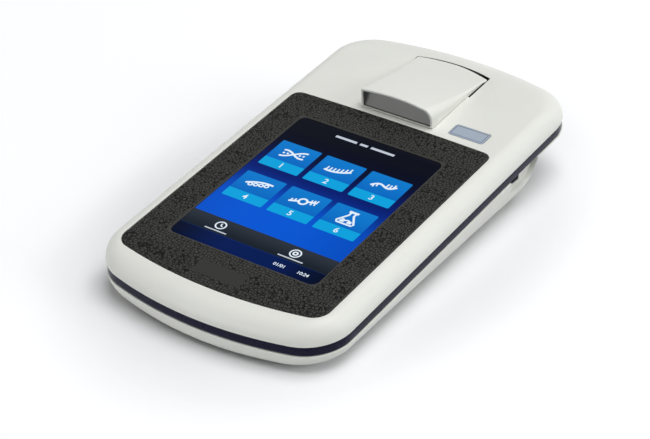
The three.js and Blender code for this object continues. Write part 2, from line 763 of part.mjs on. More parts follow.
function displayStack() {
  const window = roundedRectangle(windowWidth, windowLength, windowCorner);
  const panel = panelShape(0);
  panel.holes.push(window);
  piece('bezel_panel', prism(panel, -bezelThickness, 0), colours.darkPanel, deck);
  const glassTop = bezelThickness + gap;
  const plate = solid(prism(roundedRectangle(windowWidth + 2 * glassBorder, windowLength + 2 * glassBorder,
    windowCorner), -glassTop - glassThickness, -glassTop));
  const pane = solid(prism(roundedRectangle(windowWidth - 2 * gap, windowLength - 2 * gap, windowCorner - gap),
    -glassTop - glassThickness, -paneDrop));
  piece('touch_glass', join(plate, pane), colours.glass, deck);
  const lcdTop = glassTop + glassThickness + gap;
  piece('lcd_panel', block(-lcdWidth / 2, lcdWidth / 2, -lcdLength / 2, lcdLength / 2, -lcdTop - lcdThickness, -lcdTop),
    colours.display, deck);
  const lightTop = lcdTop + lcdThickness + gap;
  piece('backlight', block(-lcdWidth / 2, lcdWidth / 2, -lcdLength / 2, lcdLength / 2,
    -lightTop - backlightThickness, -lightTop), colours.steel, deck);
  const frameTop = lightTop + backlightThickness + gap;
  const places = [-1, 1].flatMap((x) => [-1, 1].map((y) => [x * displayScrewX, y * displayScrewY]));
  let frame = cut(
    solid(block(-frameWidth / 2, frameWidth / 2, -frameLength / 2, frameLength / 2, -frameTop - frameThickness,
      -frameTop)),
    solid(block(-framePortWidth / 2, framePortWidth / 2, displayRibbonY, displayRibbonY + framePortLength,
      -frameTop - cutOver, cutOver - frameTop)),
  );
  for (const [x, y] of places) {
    frame = cut(frame, solid(post(smallScrewRadius + gap, x, y, -frameTop - cutOver, cutOver - frameTop, screwSides)));
  }
  piece('display_frame', frame, colours.steel, deck);
  const seat = -frameTop - frameThickness - gap;
  places.forEach(([x, y], i) => {
    piece(`display_screw_${i + 1}`, screw(smallScrewRadius, smallScrewHead, smallScrewHeadHeight,
      smallScrewGrip + frameThickness, x, y, seat), colours.steel, deck);
  });
  return frameTop;
}

// A flat ribbon seen from the side: a strip of even thickness round a line of points in y and z.
function ribbon(points, width, x) {
  const offset = (p, q) => {
    const length = Math.hypot(q[0] - p[0], q[1] - p[1]);
    return [-(q[1] - p[1]) / length, (q[0] - p[0]) / length];
  };
  const sides = [1, -1].map((side) => points.map((p, i) => {
    const before = i > 0 ? offset(points[i - 1], p) : offset(p, points[i + 1]);
    const after = i < points.length - 1 ? offset(p, points[i + 1]) : before;
    const sum = [before[0] + after[0], before[1] + after[1]];
    const size = (sum[0] * before[0] + sum[1] * before[1]) / ribbonThickness * 2;
    return [p[0] + (side * sum[0]) / size, p[1] + (side * sum[1]) / size];
  }));
  return prismX([...sides[0].reverse(), ...sides[1]], x - width / 2, x + width / 2);
}

function lid() {
  const plan = solid(prism(lidPlan(lidFront, 0), -lidRearThickness - cutOver, lidHeight + cutOver));
  const body = solid(lidBody(lidFront - cutOver, lidRearMiddle + cutOver, 0, -lidRearThickness)).intersect(plan);
  const bayStart = bayFront + bayGap / 2;
  const wallFront = lidFront + fingerDepth + lidWall;
  const wallRear = lidRearMiddle - lidRearWall;
  const knuckles = [-1, 1].map((side) => join(
    solid(postX(knuckleRadius, hingeY, -hingeDrop, side * knuckleX - knuckleWidth / 2,
      side * knuckleX + knuckleWidth / 2)),
    solid(block(side * knuckleX - knuckleWidth / 2, side * knuckleX + knuckleWidth / 2, hingeY - knuckleRadius,
      hingeY + knuckleRadius, -hingeDrop, -hingeDrop + knuckleRadius)),
  ));
  const fingerRoof = lidHeight - fingerRim;
  const finger = solid(lidBody(lidFront - cutOver, lidFront + fingerDepth, fingerRim, lidFootGap + fingerSill))
    .intersect(solid(prismX([
      [lidFront - cutOver, 0],
      [lidFront + fingerFoot, 0],
      [lidFront + fingerDepth, fingerRoof],
      [lidFront - cutOver, fingerRoof],
    ], -lidHalfWidth, lidHalfWidth)));
  const inner = solid(lidBody(wallFront, wallRear, lidWall, -lidRearThickness - cutOver));
  const underside = solid(block(-lidHalfWidth - cutOver, lidHalfWidth + cutOver, lidFront - cutOver, bayStart,
    -lidRearThickness - cutOver, lidFootGap));
  const shell = join(cut(body, inner, underside, finger), ...knuckles);
  piece('lid_shell', cut(shell, solid(postX(pinRadius + gap / 2, hingeY, -hingeDrop, -lidHalfWidth, lidHalfWidth,
    coarseSides))), colours.whitePlastic, deck);
  const linerFront = wallFront + gap;
  const room = solid(lidBody(linerFront, wallRear, lidWall + gap, -cutOver));
  piece('lid_liner', cut(
    solid(block(-lidHalfWidth, lidHalfWidth, linerFront, linerFront + linerLength, linerLift,
      linerLift + linerThickness)).intersect(room),
    solid(post(linerHole, 0, tubeY, linerLift - cutOver, linerLift + linerThickness + cutOver)),
  ), colours.blackPlastic, deck);
  piece('lid_seal', cut(
    solid(post(sealOuter, 0, tubeY, sealLift, linerLift - gap)),
    solid(post(sealInner, 0, tubeY, sealLift - cutOver, linerLift + cutOver)),
  ), colours.rubber, deck);
  const magnetY = tubeY - magnetAhead;
  const magnetLow = linerLift + linerThickness + gap;
  piece('lid_magnet', post(magnetRadius, magnetX, magnetY, magnetLow, magnetLow + magnetHeight, coarseSides),
    colours.steel, deck);
  piece('lid_sensor', block(magnetX - sensorWidth / 2, magnetX + sensorWidth / 2, magnetY - sensorWidth / 2,
    magnetY + sensorWidth / 2, -shellWall - gap - sensorThickness, -shellWall - gap), colours.circuitBoard, deck);
  const pinHalf = lidHalfWidth + bayGap + bayWall - gap;
  piece('hinge_pin', postX(pinRadius, hingeY, -hingeDrop, -pinHalf, pinHalf, coarseSides), colours.steel, deck);
}

function optics() {
  const { y } = tubePlace();
  const low = tubeFloor() - sleeveWall;
  const flange = solid(post(flangeRadius, 0, tubeY, -flangeThickness - gap, -gap).applyMatrix4(deckMatrix));
  const axis = opticalAxis();
  const through = tubeRadius + sleeveWall + cutOver;
  piece('tube_well', cut(
    join(flange, solid(post(tubeRadius + sleeveWall, 0, y, low, deckLevel(y, flangeThickness)))),
    solid(post(tubeRadius, 0, y, tubeFloor(), tubePlace().z + cutOver)),
    solid(postX(windowRadius, y, axis, -through, through, coarseSides)),
    solid(postY(windowRadius, 0, axis, y - through, y + through, coarseSides)),
  ), colours.blackPlastic, root);

  const bottom = blockBottom();
  const ears = opticsScrews().map(([x, earY]) => solid(block(Math.min(x, 0) - (x < 0 ? earLength / 2 : 0),
    Math.max(x, 0) + (x > 0 ? earLength / 2 : 0), earY - earWidth / 2, earY + earWidth / 2, bottom,
    bottom + earThickness)));
  let body = join(solid(block(-blockHalf, blockHalf, y - blockHalf, y + blockHalf, bottom, bottom + blockHeight)),
    ...ears);
  const barrel = blockHalf - barrelWall - tubeRadius - sleeveWall;
  body = cut(
    body,
    solid(post(tubeRadius + sleeveWall + gap, 0, y, bottom + blockFloor, bottom + blockHeight + cutOver)),
    solid(postX(windowRadius, y, axis, -blockHalf, blockHalf, coarseSides)),
    solid(postY(windowRadius, 0, axis, y - blockHalf, y + blockHalf, coarseSides)),
    solid(postX(barrelRadius, y, axis, blockHalf - barrel, blockHalf + cutOver)),
    solid(postX(barrelRadius, y, axis, -blockHalf - cutOver, barrel - blockHalf)),
    solid(postY(barrelRadius, 0, axis, y + blockHalf - barrel, y + blockHalf + cutOver)),
    solid(postY(barrelRadius, 0, axis, y - blockHalf - cutOver, y - blockHalf + barrel)),
    ...opticsScrews().map(([x, earY]) => solid(post(smallScrewRadius + gap, x, earY, bottom - cutOver,
      bottom + blockHeight, screwSides))),
  );
  piece('optical_block', body, colours.blackPlastic, root);

  // Each barrel, seen from its seat outwards: a filter, then a lamp or a detector on its board.
  const lanes = [
    { turn: Math.PI, names: ['blue_excitation_filter', 'blue_led', 'blue_led_board'],
      filter: colours.blueFilter, lamp: true },
    { turn: 0, names: ['red_excitation_filter', 'red_led', 'red_led_board'],
      filter: colours.redFilter, lamp: true },
    { turn: -Math.PI / 2, names: ['green_emission_filter', 'green_photodiode', 'green_detector_board'],
      filter: colours.greenFilter, lamp: false },
    { turn: Math.PI / 2, names: ['far_red_emission_filter', 'far_red_photodiode',
      'far_red_detector_board'], filter: colours.redFilter, lamp: false },
  ];
  for (const lane of lanes) {
    const arm = new THREE.Group();
    arm.position.set(0, y, axis);
    arm.rotation.z = lane.turn;
    root.add(arm);
    const seat = blockHalf - barrel + gap;
    piece(lane.names[0], postX(filterRadius, 0, 0, seat, seat + filterThickness), lane.filter, arm);
    const radius = lane.lamp ? ledRadius : photodiodeRadius;
    const length = lane.lamp ? ledLength : photodiodeLength;
    const board = blockHalf + gap;
    const tip = lane.lamp ? radius / 2 : radius / 6;
    const profile = [[0, board - gap], [radius, board - gap], [radius, board - gap - length + tip],
      [radius - tip, board - gap - length], [0, board - gap - length]];
    const can = new THREE.LatheGeometry(profile.map(([r, z]) => new THREE.Vector2(r, z)).reverse(), coarseSides)
      .rotateZ(-Math.PI / 2);
    piece(lane.names[1], can, lane.lamp ? colours.glass : colours.steel, arm);
    piece(lane.names[2], block(board, board + boardThickness, -opticsBoardWidth / 2, opticsBoardWidth / 2,
      -opticsBoardHeight / 2, opticsBoardHeight / 2), colours.circuitBoard, arm);
  }
  opticsScrews().forEach(([x, earY], i) => {
    const held = screw(smallScrewRadius, smallScrewHead, smallScrewHeadHeight, smallScrewGrip + earThickness,
      0, 0, 0).rotateX(Math.PI).translate(x, earY, bottom + earThickness + gap);
    piece(`optics_screw_${i + 1}`, held, colours.steel, root);
  });
}

function boards(frameTop) {
  const low = boardLevel();
  const high = low + boardThickness;
  let board = cut(
    solid(block(-mainBoardHalfWidth, mainBoardHalfWidth, -mainBoardFront, mainBoardRear, low, high)),
    solid(block(-mainBoardNotchHalf, mainBoardNotchHalf, mainBoardRear - mainBoardNotch, mainBoardRear + cutOver,
      low - cutOver, high + cutOver)),
  );
  for (const [x, y] of boardScrews()) {
    board = cut(board, solid(post(smallScrewRadius + gap, x, y, low - cutOver, high + cutOver, screwSides)));
  }
  piece('main_board', board, colours.circuitBoard, root);
  boardScrews().forEach(([x, y], i) => {
    const held = screw(smallScrewRadius, smallScrewHead, smallScrewHeadHeight, smallScrewGrip + boardThickness,
      0, 0, 0).rotateX(Math.PI).translate(x, y, high + gap);
    piece(`board_screw_${i + 1}`, held, colours.steel, root);
  });
  const top = mainTop();
  piece('processor_chip', block(-processorSize / 2, processorSize / 2, -processorSize * 2, -processorSize, top,
    top + processorHeight), colours.blackPlastic, root);
  const cellX = mainBoardHalfWidth / 2 + cellRadius / 2;
  piece('coin_cell_holder', cut(
    solid(post(cellRadius + holderWall, -cellX, 0, top, top + holderFloor + cellHeight)),
    solid(post(cellRadius + gap, -cellX, 0, top + holderFloor, top + cellHeight + cutOver)),
  ), colours.blackPlastic, root);
  piece('coin_cell', post(cellRadius, -cellX, 0, top + holderFloor + gap, top + holderFloor + cellHeight),
    colours.steel, root);
  piece('buzzer', post(buzzerRadius, cellX, 0, top, top + buzzerHeight), colours.blackPlastic, root);

  const usb = usbPlace();
  const usbLow = usb.z - usbHeight / 2;
  const usbHigh = usb.z + usbHeight / 2;
  const usbShell = cut(
    solid(block(usb.back, usb.mouth, usb.y - usbWidth / 2, usb.y + usbWidth / 2, usbLow, usbHigh)),
    solid(block(usb.back + usbTongue, usb.mouth + cutOver, usb.y - usbWidth / 2 + usbMetal,
      usb.y + usbWidth / 2 - usbMetal, usbLow + usbMetal, usbHigh - usbMetal)),
  );
  piece('usb_a_socket', join(usbShell, solid(block(usb.back + usbMetal, usb.mouth - usbTongue,
    usb.y - usbWidth / 2 + usbTongue, usb.y + usbWidth / 2 - usbTongue, usbHigh - usbMetal - usbTongue,
    usbHigh - usbMetal / 2))), colours.steel, root);

  const ioHigh = ioBoardHeight + boardThickness;
  let io = solid(block(-ioBoardHalfWidth, ioBoardHalfWidth, ioBoardFront, ioBoardRear, ioBoardHeight, ioHigh));
  for (const [x, y] of ioScrews()) {
    io = cut(io, solid(post(smallScrewRadius + gap, x, y, ioBoardHeight - cutOver, ioHigh + cutOver, screwSides)));
  }
  piece('io_board', io, colours.circuitBoard, root);
  ioScrews().forEach(([x, y]) => {
    const held = screw(smallScrewRadius, smallScrewHead, smallScrewHeadHeight, smallScrewGrip + boardThickness,
      0, 0, 0).rotateX(Math.PI).translate(x, y, ioHigh + gap);
    piece('io_screw', held, colours.steel, root);
  });
  const nose = panelY + gap;
  const dcBack = panelY - shellWall - gap - dcLength;
  piece('dc_inlet', join(cut(
    join(
      solid(block(dcX - dcWidth / 2, dcX + dcWidth / 2, dcBack, dcBack + dcLength, ioTop(), ioTop() + dcHeight)),
      solid(postY(dcNoseRadius, dcX, dcCentre(), dcBack + dcLength / 2, nose)),
    ),
    solid(postY(dcBore, dcX, dcCentre(), nose - dcBoreDepth, nose + cutOver)),
  ), solid(postY(dcPin, dcX, dcCentre(), nose - dcBoreDepth - dcPin, nose - portWay, screwSides))),
  colours.blackPlastic, root);
  piece('mini_usb_socket', cut(
    solid(block(miniX - miniWidth / 2, miniX + miniWidth / 2, nose - miniLength, nose, ioTop(),
      ioTop() + miniHeight)),
    solid(block(miniX - miniWidth / 2 + miniMetal, miniX + miniWidth / 2 - miniMetal, nose - miniLength + miniBack,
      nose + cutOver, ioTop() + miniMetal, ioTop() + miniHeight - miniMetal)),
  ), colours.steel, root);

  // The display ribbon leaves the backlight through the frame's port, loops back and lands on the main board.
  const start = onPart(0, displayRibbonY + framePortLength / 2, -frameTop);
  const landing = top + ribbonThickness / 2;
  const under = start.z - gap - ribbonThickness;
  piece('display_cable', ribbon([
    [start.y + displayRibbonReach, under + displayRibbonReach * rise],
    [start.y, under],
    [start.y - displayRibbonReach / 2, (under + landing) / 2],
    [start.y, landing],
    [start.y + displayRibbonReach, landing],
  ], displayRibbonWidth, 0), colours.ribbon, root);
  const detector = tubePlace().y - blockHalf - gap - boardThickness - gap - ribbonThickness / 2;
  const boardEdge = mainBoardRear - mainBoardNotch;
  piece('optics_cable', ribbon([
    [detector, opticalAxis() + opticsBoardHeight / 2 - boardThickness],
    [detector, landing + ribbonThickness],
    [detector - ribbonThickness, landing],
    [boardEdge - opticsRibbonReach, landing],
  ], opticsRibbonWidth, 0), colours.ribbon, root);
}

piece('upper_housing', upperHousing(), colours.whitePlastic, deck);
piece('lower_housing', lowerHousing(), colours.whitePlastic, root);
const beltLoop = (inset) => ring(caseOutline(inset), -beltBottom);
piece('belt_trim', cut(
  solid(loft([beltLoop(0), ring(caseOutline(0), -beltDrop)])),
  solid(loft([ring(caseOutline(beltThickness), -beltBottom - cutOver),
    ring(caseOutline(beltThickness), cutOver - beltDrop)])),
), colours.navyTrim, deck);
piece('badge_plate', prism(roundedRectangle(badgeWidth, badgeLength, badgeCorner, badgeX, badgeY), -badgeSeat,
  badgeThickness - badgeSeat), colours.badge, deck);
const frameTop = displayStack();
lid();
optics();
boards(frameTop);
caseScrews().forEach(([x, y], i) => {
  piece(`case_screw_${i + 1}`, screw(caseScrewRadius, caseScrewHead, caseScrewHeadHeight, caseScrewGrip, x, y,
    deckLevel(y, seam) - shelfDepth - caseScrewSeat - gap), colours.steel, root);
});
feet().forEach(([x, y], i) => {
  piece(`rubber_foot_${i + 1}`, post(footRadius, x, y, 0, baseHeight + footSeat - gap), colours.rubber, root);
});

export default root;
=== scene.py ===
"""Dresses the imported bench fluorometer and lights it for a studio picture.

Sizes are in millimetres, as in the part's source, and become metres where a mesh is made. Most pieces are
worked out in the deck's own frame: its origin is the centre of the screen window, +X is to the right, +Y runs
up the tilted deck to the rear and +Z stands on it.
"""

from __future__ import annotations

import json
import logging
import math
from collections.abc import Callable, Sequence
from dataclasses import astuple, dataclass, replace
from enum import Enum

import bmesh
import bpy
import numpy as np
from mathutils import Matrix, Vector
from mathutils.geometry import delaunay_2d_cdt

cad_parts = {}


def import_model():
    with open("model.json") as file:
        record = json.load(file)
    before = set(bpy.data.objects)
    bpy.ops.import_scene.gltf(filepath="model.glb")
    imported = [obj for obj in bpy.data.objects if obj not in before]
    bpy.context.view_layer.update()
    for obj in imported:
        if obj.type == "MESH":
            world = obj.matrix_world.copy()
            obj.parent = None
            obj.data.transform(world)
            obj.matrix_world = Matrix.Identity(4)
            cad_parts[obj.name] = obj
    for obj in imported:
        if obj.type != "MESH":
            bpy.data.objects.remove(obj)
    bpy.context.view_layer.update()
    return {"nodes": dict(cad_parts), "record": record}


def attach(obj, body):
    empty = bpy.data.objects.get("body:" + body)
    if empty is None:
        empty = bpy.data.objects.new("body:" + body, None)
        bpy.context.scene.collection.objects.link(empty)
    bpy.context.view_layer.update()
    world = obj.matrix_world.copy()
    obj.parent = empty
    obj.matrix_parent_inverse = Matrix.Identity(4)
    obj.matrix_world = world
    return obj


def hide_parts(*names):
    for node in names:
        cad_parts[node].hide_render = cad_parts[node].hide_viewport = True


MM = 0.001
LOG = logging.getLogger("fluorometer")
Array = np.ndarray
Loop = Callable[[float], Array]
Place = Callable[[Array], Array]
Colour = tuple[float, float, float]
Section = Sequence[tuple[float, float]]


class Body(Enum):
    """The two bodies of the part that pieces ride on."""

    CASE = "case"
    LID = "lid"


class Facing(Enum):
    """The way that a turned or swept piece points in the part's frame."""

    UP = 0
    RIGHT = 1
    REAR = 2
    LEFT = 3
    FRONT = 4


def smooth_share(value: Array, low: float, high: float) -> Array:
    """Eases from 0 to 1: 3t^2 - 2t^3, where t is the share of the way from low to high."""
    t = np.clip((value - low) / (high - low), 0.0, 1.0)
    return t * t * (3.0 - 2.0 * t)


def level(loop: Array, z: Array | float) -> Array:
    """Lifts a flat loop to a height."""
    return np.column_stack([loop, np.broadcast_to(z, len(loop))])


@dataclass(frozen=True)
class Outline:
    """A bowed outline: half width, reach to the front and rear, and the radii of its bows and corners."""

    half: float
    front: float
    rear: float
    front_bow: float
    front_corner: float
    rear_bow: float
    rear_corner: float

    def grown(self, by: float) -> Outline:
        """The same outline moved out by a distance all round."""
        return Outline(*(value + by for value in astuple(self)))

    def towards(self, other: Outline, share: float) -> Outline:
        """An outline a share of the way to another one."""
        return Outline(*(a + (b - a) * share for a, b in zip(astuple(self), astuple(other))))

    def points(self, bow_steps: int = 26, corner_steps: int = 20, side_steps: int = 72) -> Array:
        """The outline as points, counter-clockwise from the middle of the front.

        A bow is an arc about (0, bow), and a corner is an arc that is tangent to the bow and to the straight
        side: its centre is half - corner from the middle line, and in from the end by
        bow - sqrt((bow - corner)^2 - (half - corner)^2).

        Args:
            bow_steps: Steps along half a bow.
            corner_steps: Steps round a corner.
            side_steps: Steps along a side.

        Returns:
            Points in x and y.
        """
        fore = self._half_end(self.front_bow, self.front_corner, bow_steps, corner_steps) - [0.0, self.front]
        aft = self._half_end(self.rear_bow, self.rear_corner, bow_steps, corner_steps) * [1.0, -1.0]
        aft = (aft + [0.0, self.rear])[::-1]
        side = np.linspace(fore[-1], aft[0], side_steps + 1)[1:-1]
        right = np.concatenate([fore, side, aft])
        left = (right[1:-1] * [-1.0, 1.0])[::-1]
        return np.concatenate([right, left])

    def _half_end(self, bow: float, corner: float, bow_steps: int, corner_steps: int) -> Array:
        """Half an end, from its middle to its straight side, with y measured in from the end.

        Args:
            bow: The bow's radius.
            corner: The corner's radius.
            bow_steps: Steps along the bow.
            corner_steps: Steps round the corner.

        Returns:
            Points in x and y.
        """
        across = self.half - corner
        turn = math.asin(across / (bow - corner))
        drop = bow - math.sqrt((bow - corner) ** 2 - across**2)
        a = np.linspace(0.0, turn, bow_steps, endpoint=False)
        b = np.linspace(turn, math.pi / 2, corner_steps + 1)
        arc = np.column_stack([bow * np.sin(a), bow - bow * np.cos(a)])
        bend = np.column_stack([across + corner * np.sin(b), drop - corner * np.cos(b)])
        return np.concatenate([arc, bend])


def rounded_rectangle(width: float, length: float, corner: float, x: float = 0.0, y: float = 0.0) -> Array:
    """A rectangle with round corners, as points.

    Args:
        width: Its size along x.
        length: Its size along y.
        corner: The radius of its corners.
        x: The x of its centre.
        y: The y of its centre.

    Returns:
        Points in x and y, counter-clockwise.
    """
    steps = 10
    quarter = np.linspace(0.0, math.pi / 2, steps + 1)
    parts = []
    for turn, (sign_x, sign_y) in enumerate([(1, -1), (1, 1), (-1, 1), (-1, -1)]):
        angle = quarter + (turn - 1) * math.pi / 2
        centre = [x + sign_x * (width / 2 - corner), y + sign_y * (length / 2 - corner)]
        parts.append(centre + corner * np.column_stack([np.cos(angle), np.sin(angle)]))
    return np.concatenate(parts)


def circle(radius: float, x: float = 0.0, y: float = 0.0, steps: int = 64) -> Array:
    """A circle as points."""
    angle = np.linspace(0.0, 2 * math.pi, steps, endpoint=False)
    return np.column_stack([x + radius * np.cos(angle), y + radius * np.sin(angle)])


def rounded_edge(loop: Loop, top: float, radius: float, side: int = -1, steps: int = 5) -> list[Array]:
    """The rings of a rounded edge, from the wall to the face.

    The edge is a quarter circle: at the angle a the loop grows by side * radius * (1 - cos a), and its height
    is top - radius * (1 - sin a).

    Args:
        loop: Gives the wall's loop grown by a distance.
        top: The face's height. A negative radius rounds the edge of a face that looks down.
        radius: The edge's radius.
        side: -1 for the outer edge of a plate, 1 for the edge of a hole.
        steps: Steps round the edge.

    Returns:
        The rings.
    """
    reach = side * abs(radius)
    angles = np.linspace(0.0, math.pi / 2, steps + 1)
    return [level(loop(reach * (1 - math.cos(a))), top - radius * (1 - math.sin(a))) for a in angles]


def rectangle(width: float, length: float, corner: float, x: float = 0.0, y: float = 0.0) -> Loop:
    """A rectangle with round corners, as a loop that can be grown."""
    return lambda by: rounded_rectangle(width + 2 * by, length + 2 * by, corner + by, x, y)


def disc(radius: float, x: float = 0.0, y: float = 0.0, steps: int = 64) -> Loop:
    """A circle, as a loop that can be grown."""
    return lambda by: circle(radius + by, x, y, steps)


def linked(name: str, data: bpy.types.ID) -> bpy.types.Object:
    """Makes an object and puts it in the scene.

    Args:
        name: Its name.
        data: Its mesh, curve, lamp or camera.

    Returns:
        The object, at the origin.
    """
    made = bpy.data.objects.new(name, data)
    bpy.context.scene.collection.objects.link(made)
    return made


def inside(points: Array, loop: Array) -> Array:
    """Tells which points lie in a loop, by counting the crossings of a line from each point along +x.

    Args:
        points: Points in x and y.
        loop: The loop, in x and y.

    Returns:
        A true or false value for each point.
    """
    ahead = np.roll(loop, -1, axis=0)
    x, y = points[:, 0:1], points[:, 1:2]
    crosses = (loop[:, 1] > y) != (ahead[:, 1] > y)
    rise = np.where(ahead[:, 1] == loop[:, 1], 1.0, ahead[:, 1] - loop[:, 1])
    where = loop[:, 0] + (y - loop[:, 1]) / rise * (ahead[:, 0] - loop[:, 0])
    return (crosses & (x < where)).sum(axis=1) % 2 == 1


class Surface:
    """Gathers rings and flat caps, in millimetres, and makes one closed mesh of them."""

    def __init__(self, place: Place | None = None) -> None:
        """Starts an empty surface.

        Args:
            place: Moves points from the frame that they are given in to the part's frame.
        """
        self.place = place
        self.points: list[Array] = []
        self.faces: list[list[int]] = []
        self.total = 0

    def add(self, points: Array) -> Array:
        """Takes points in.

        Args:
            points: An array of points, of any shape whose last side is 3.

        Returns:
            Their numbers, in the same shape without its last side.
        """
        flat = points.reshape(-1, 3)
        index = self.total + np.arange(len(flat)).reshape(points.shape[:-1])
        self.points.append(flat)
        self.total += len(flat)
        return index

    def strip(self, rings: Sequence[Array] | Array, closed: bool = True) -> Surface:
        """Joins each ring to the next: a face for each point i holds i and i + 1 of both rings.

        Args:
            rings: Rings with the same number of points.
            closed: Whether the last point of a ring joins its first.

        Returns:
            The surface itself.
        """
        index = self.add(np.asarray(rings, float))
        if closed:
            index = np.concatenate([index, index[:, :1]], axis=1)
        quads = np.stack([index[:-1, :-1], index[:-1, 1:], index[1:, 1:], index[1:, :-1]], axis=-1)
        self.faces += quads.reshape(-1, 4).tolist()
        return self

    def cap(self, outer: Array, holes: Sequence[Array] = ()) -> Surface:
        """Fills a flat loop, less its holes, with triangles.

        The loops are laid out in the plane that fits the outer one best, and joined there.

        Args:
            outer: The outer loop.
            holes: The loops of its holes.

        Returns:
            The surface itself.
        """
        loops = [outer, *holes]
        points = np.concatenate(loops)
        index = self.add(points)
        _, _, axes = np.linalg.svd(outer - outer.mean(axis=0), full_matrices=False)
        flat = (points - outer.mean(axis=0)) @ axes[:2].T
        ends = np.cumsum([0, *map(len, loops)])
        edges = [
            (int(a + i), int(a + (i + 1) % (b - a)))
            for a, b in zip(ends[:-1], ends[1:])
            for i in range(b - a)
        ]
        found = delaunay_2d_cdt([Vector(p) for p in flat], edges, [], 1, 1e-6, True)
        corners = np.array([[found[3][v][0] for v in face] for face in found[2]])
        middle = flat[corners].mean(axis=1)
        keep = inside(middle, flat[: ends[1]])
        for a, b in zip(ends[1:-1], ends[2:]):
            keep &= ~inside(middle, flat[a:b])
        self.faces += index[corners[keep]].tolist()
        return self

    def build(self, name: str, sharp: float = 32.0) -> bpy.types.Object:
        """Makes the object: points that meet are merged and faces are turned outwards.

        Args:
            name: The object's name.
            sharp: The angle in degrees above which an edge shades as a sharp one.

        Returns:
            The object, at the origin.
        """
        points = np.concatenate(self.points)
        if self.place is not None:
            points = self.place(points)
        mesh = bpy.data.meshes.new(name)
        mesh.from_pydata((points * MM).tolist(), [], self.faces)
        made = linked(name, mesh)
        clean(made, sharp)
        return made

    def shut(self, rings: Sequence[Array], name: str) -> bpy.types.Object:
        """Makes a closed piece of rings, with a flat cap on the first and on the last of them."""
        return self.strip(rings).cap(rings[0]).cap(rings[-1]).build(name)


def clean(piece: bpy.types.Object, sharp: float = 32.0) -> None:
    """Merges doubles, drops faces with no area, turns faces outwards and sets smooth shading.

    Args:
        piece: The object whose mesh is cleaned.
        sharp: The angle in degrees above which an edge shades as a sharp one.
    """
    work = bmesh.new()
    work.from_mesh(piece.data)
    bmesh.ops.remove_doubles(work, verts=work.verts, dist=1e-6)
    bmesh.ops.dissolve_degenerate(work, edges=work.edges, dist=1e-7)
    bmesh.ops.recalc_face_normals(work, faces=work.faces)
    work.to_mesh(piece.data)
    work.free()
    piece.data.shade_smooth()
    piece.data.set_sharp_from_angle(angle=math.radians(sharp))


def carve(
    piece: bpy.types.Object,
    cutters: Sequence[bpy.types.Object],
    sharp: float = 32.0,
    joined: Sequence[bpy.types.Object] = (),
) -> bpy.types.Object:
    """Joins closed solids to a piece, takes others away from it, and removes them all.

    Args:
        piece: The closed piece that is worked on.
        cutters: The closed solids that are taken away, last.
        sharp: The angle in degrees above which an edge shades as a sharp one.
        joined: The closed solids that are added, first.

    Returns:
        The piece.
    """
    for operation, others in (("UNION", joined), ("DIFFERENCE", cutters)):
        for other in others:
            modifier = piece.modifiers.new(other.name, "BOOLEAN")
            modifier.operation = operation
            modifier.solver = "EXACT"
            modifier.object = other
    shaped = bpy.data.meshes.new_from_object(piece.evaluated_get(bpy.context.evaluated_depsgraph_get()))
    piece.modifiers.clear()
    piece.data = shaped
    shaped.name = piece.name
    for other in (*joined, *cutters):
        bpy.data.objects.remove(other)
    shaped.shade_smooth()
    shaped.set_sharp_from_angle(angle=math.radians(sharp))
    return piece


def merge(name: str, pieces: Sequence[bpy.types.Object]) -> bpy.types.Object:
    """Makes one object of several, and removes them.

    Args:
        name: The new object's name.
        pieces: The objects, all at the origin.

    Returns:
        The new object.
    """
    work = bmesh.new()
    for piece in pieces:
        work.from_mesh(piece.data)
    mesh = bpy.data.meshes.new(name)
    work.to_mesh(mesh)
    work.free()
    for piece in pieces:
        bpy.data.objects.remove(piece)
    made = linked(name, mesh)
    mesh.shade_smooth()
    mesh.set_sharp_from_angle(angle=math.radians(32.0))
    return made


@dataclass(frozen=True)
class Spot:
    """A place in the part's frame, and the way that a piece, worked out upright, points there."""

    x: float = 0.0
    y: float = 0.0
    z: float = 0.0
    facing: Facing = Facing.UP

    def __call__(self, points: Array) -> Array:
        """Turns upright points to face the right way, and moves them to the spot.

        Args:
            points: Points whose z runs the way that the piece points.

        Returns:
            The points in the part's frame.
        """
        u, v, w = points.T
        turned = {
            Facing.UP: (u, v, w),
            Facing.RIGHT: (w, u, v),
            Facing.LEFT: (-w, -u, v),
            Facing.REAR: (-u, w, v),
            Facing.FRONT: (u, -w, v),
        }[self.facing]
        return np.column_stack(turned) + [self.x, self.y, self.z]


def solid(
    name: str,
    loop: Loop,
    low: float,
    high: float,
    place: Place | None = None,
    edge: float = 0.0,
    low_edge: float = 0.0,
) -> bpy.types.Object:
    """A plate or post of any outline, with a rounded edge at its top and its foot.

    Args:
        name: The object's name.
        loop: Gives its outline grown by a distance.
        low: Its lowest level.
        high: Its highest level.
        place: Moves it to the part's frame.
        edge: The radius of its upper edge.
        low_edge: The radius of its lower edge.

    Returns:
        The object.
    """
    lower = rounded_edge(loop, low, -low_edge)[::-1] if low_edge else [level(loop(0.0), low)]
    upper = rounded_edge(loop, high, edge) if edge else [level(loop(0.0), high)]
    return Surface(place).shut([*lower, *upper], name)


def lathe(name: str, profile: Section, place: Place, steps: int = 72) -> bpy.types.Object:
    """A turned piece: each point of the profile is carried round the z axis, x = r cos a, y = r sin a.

    Args:
        name: The object's name.
        profile: A closed profile as radius and height, or one that starts and ends on the axis.
        place: Moves it to the part's frame.
        steps: Steps round the axis.

    Returns:
        The object.
    """
    rings = [level(circle(max(r, 0.0), steps=steps), z) for r, z in profile]
    if profile[0][0] > 0:
        rings.append(rings[0])
    return Surface(place).strip(rings).build(name)


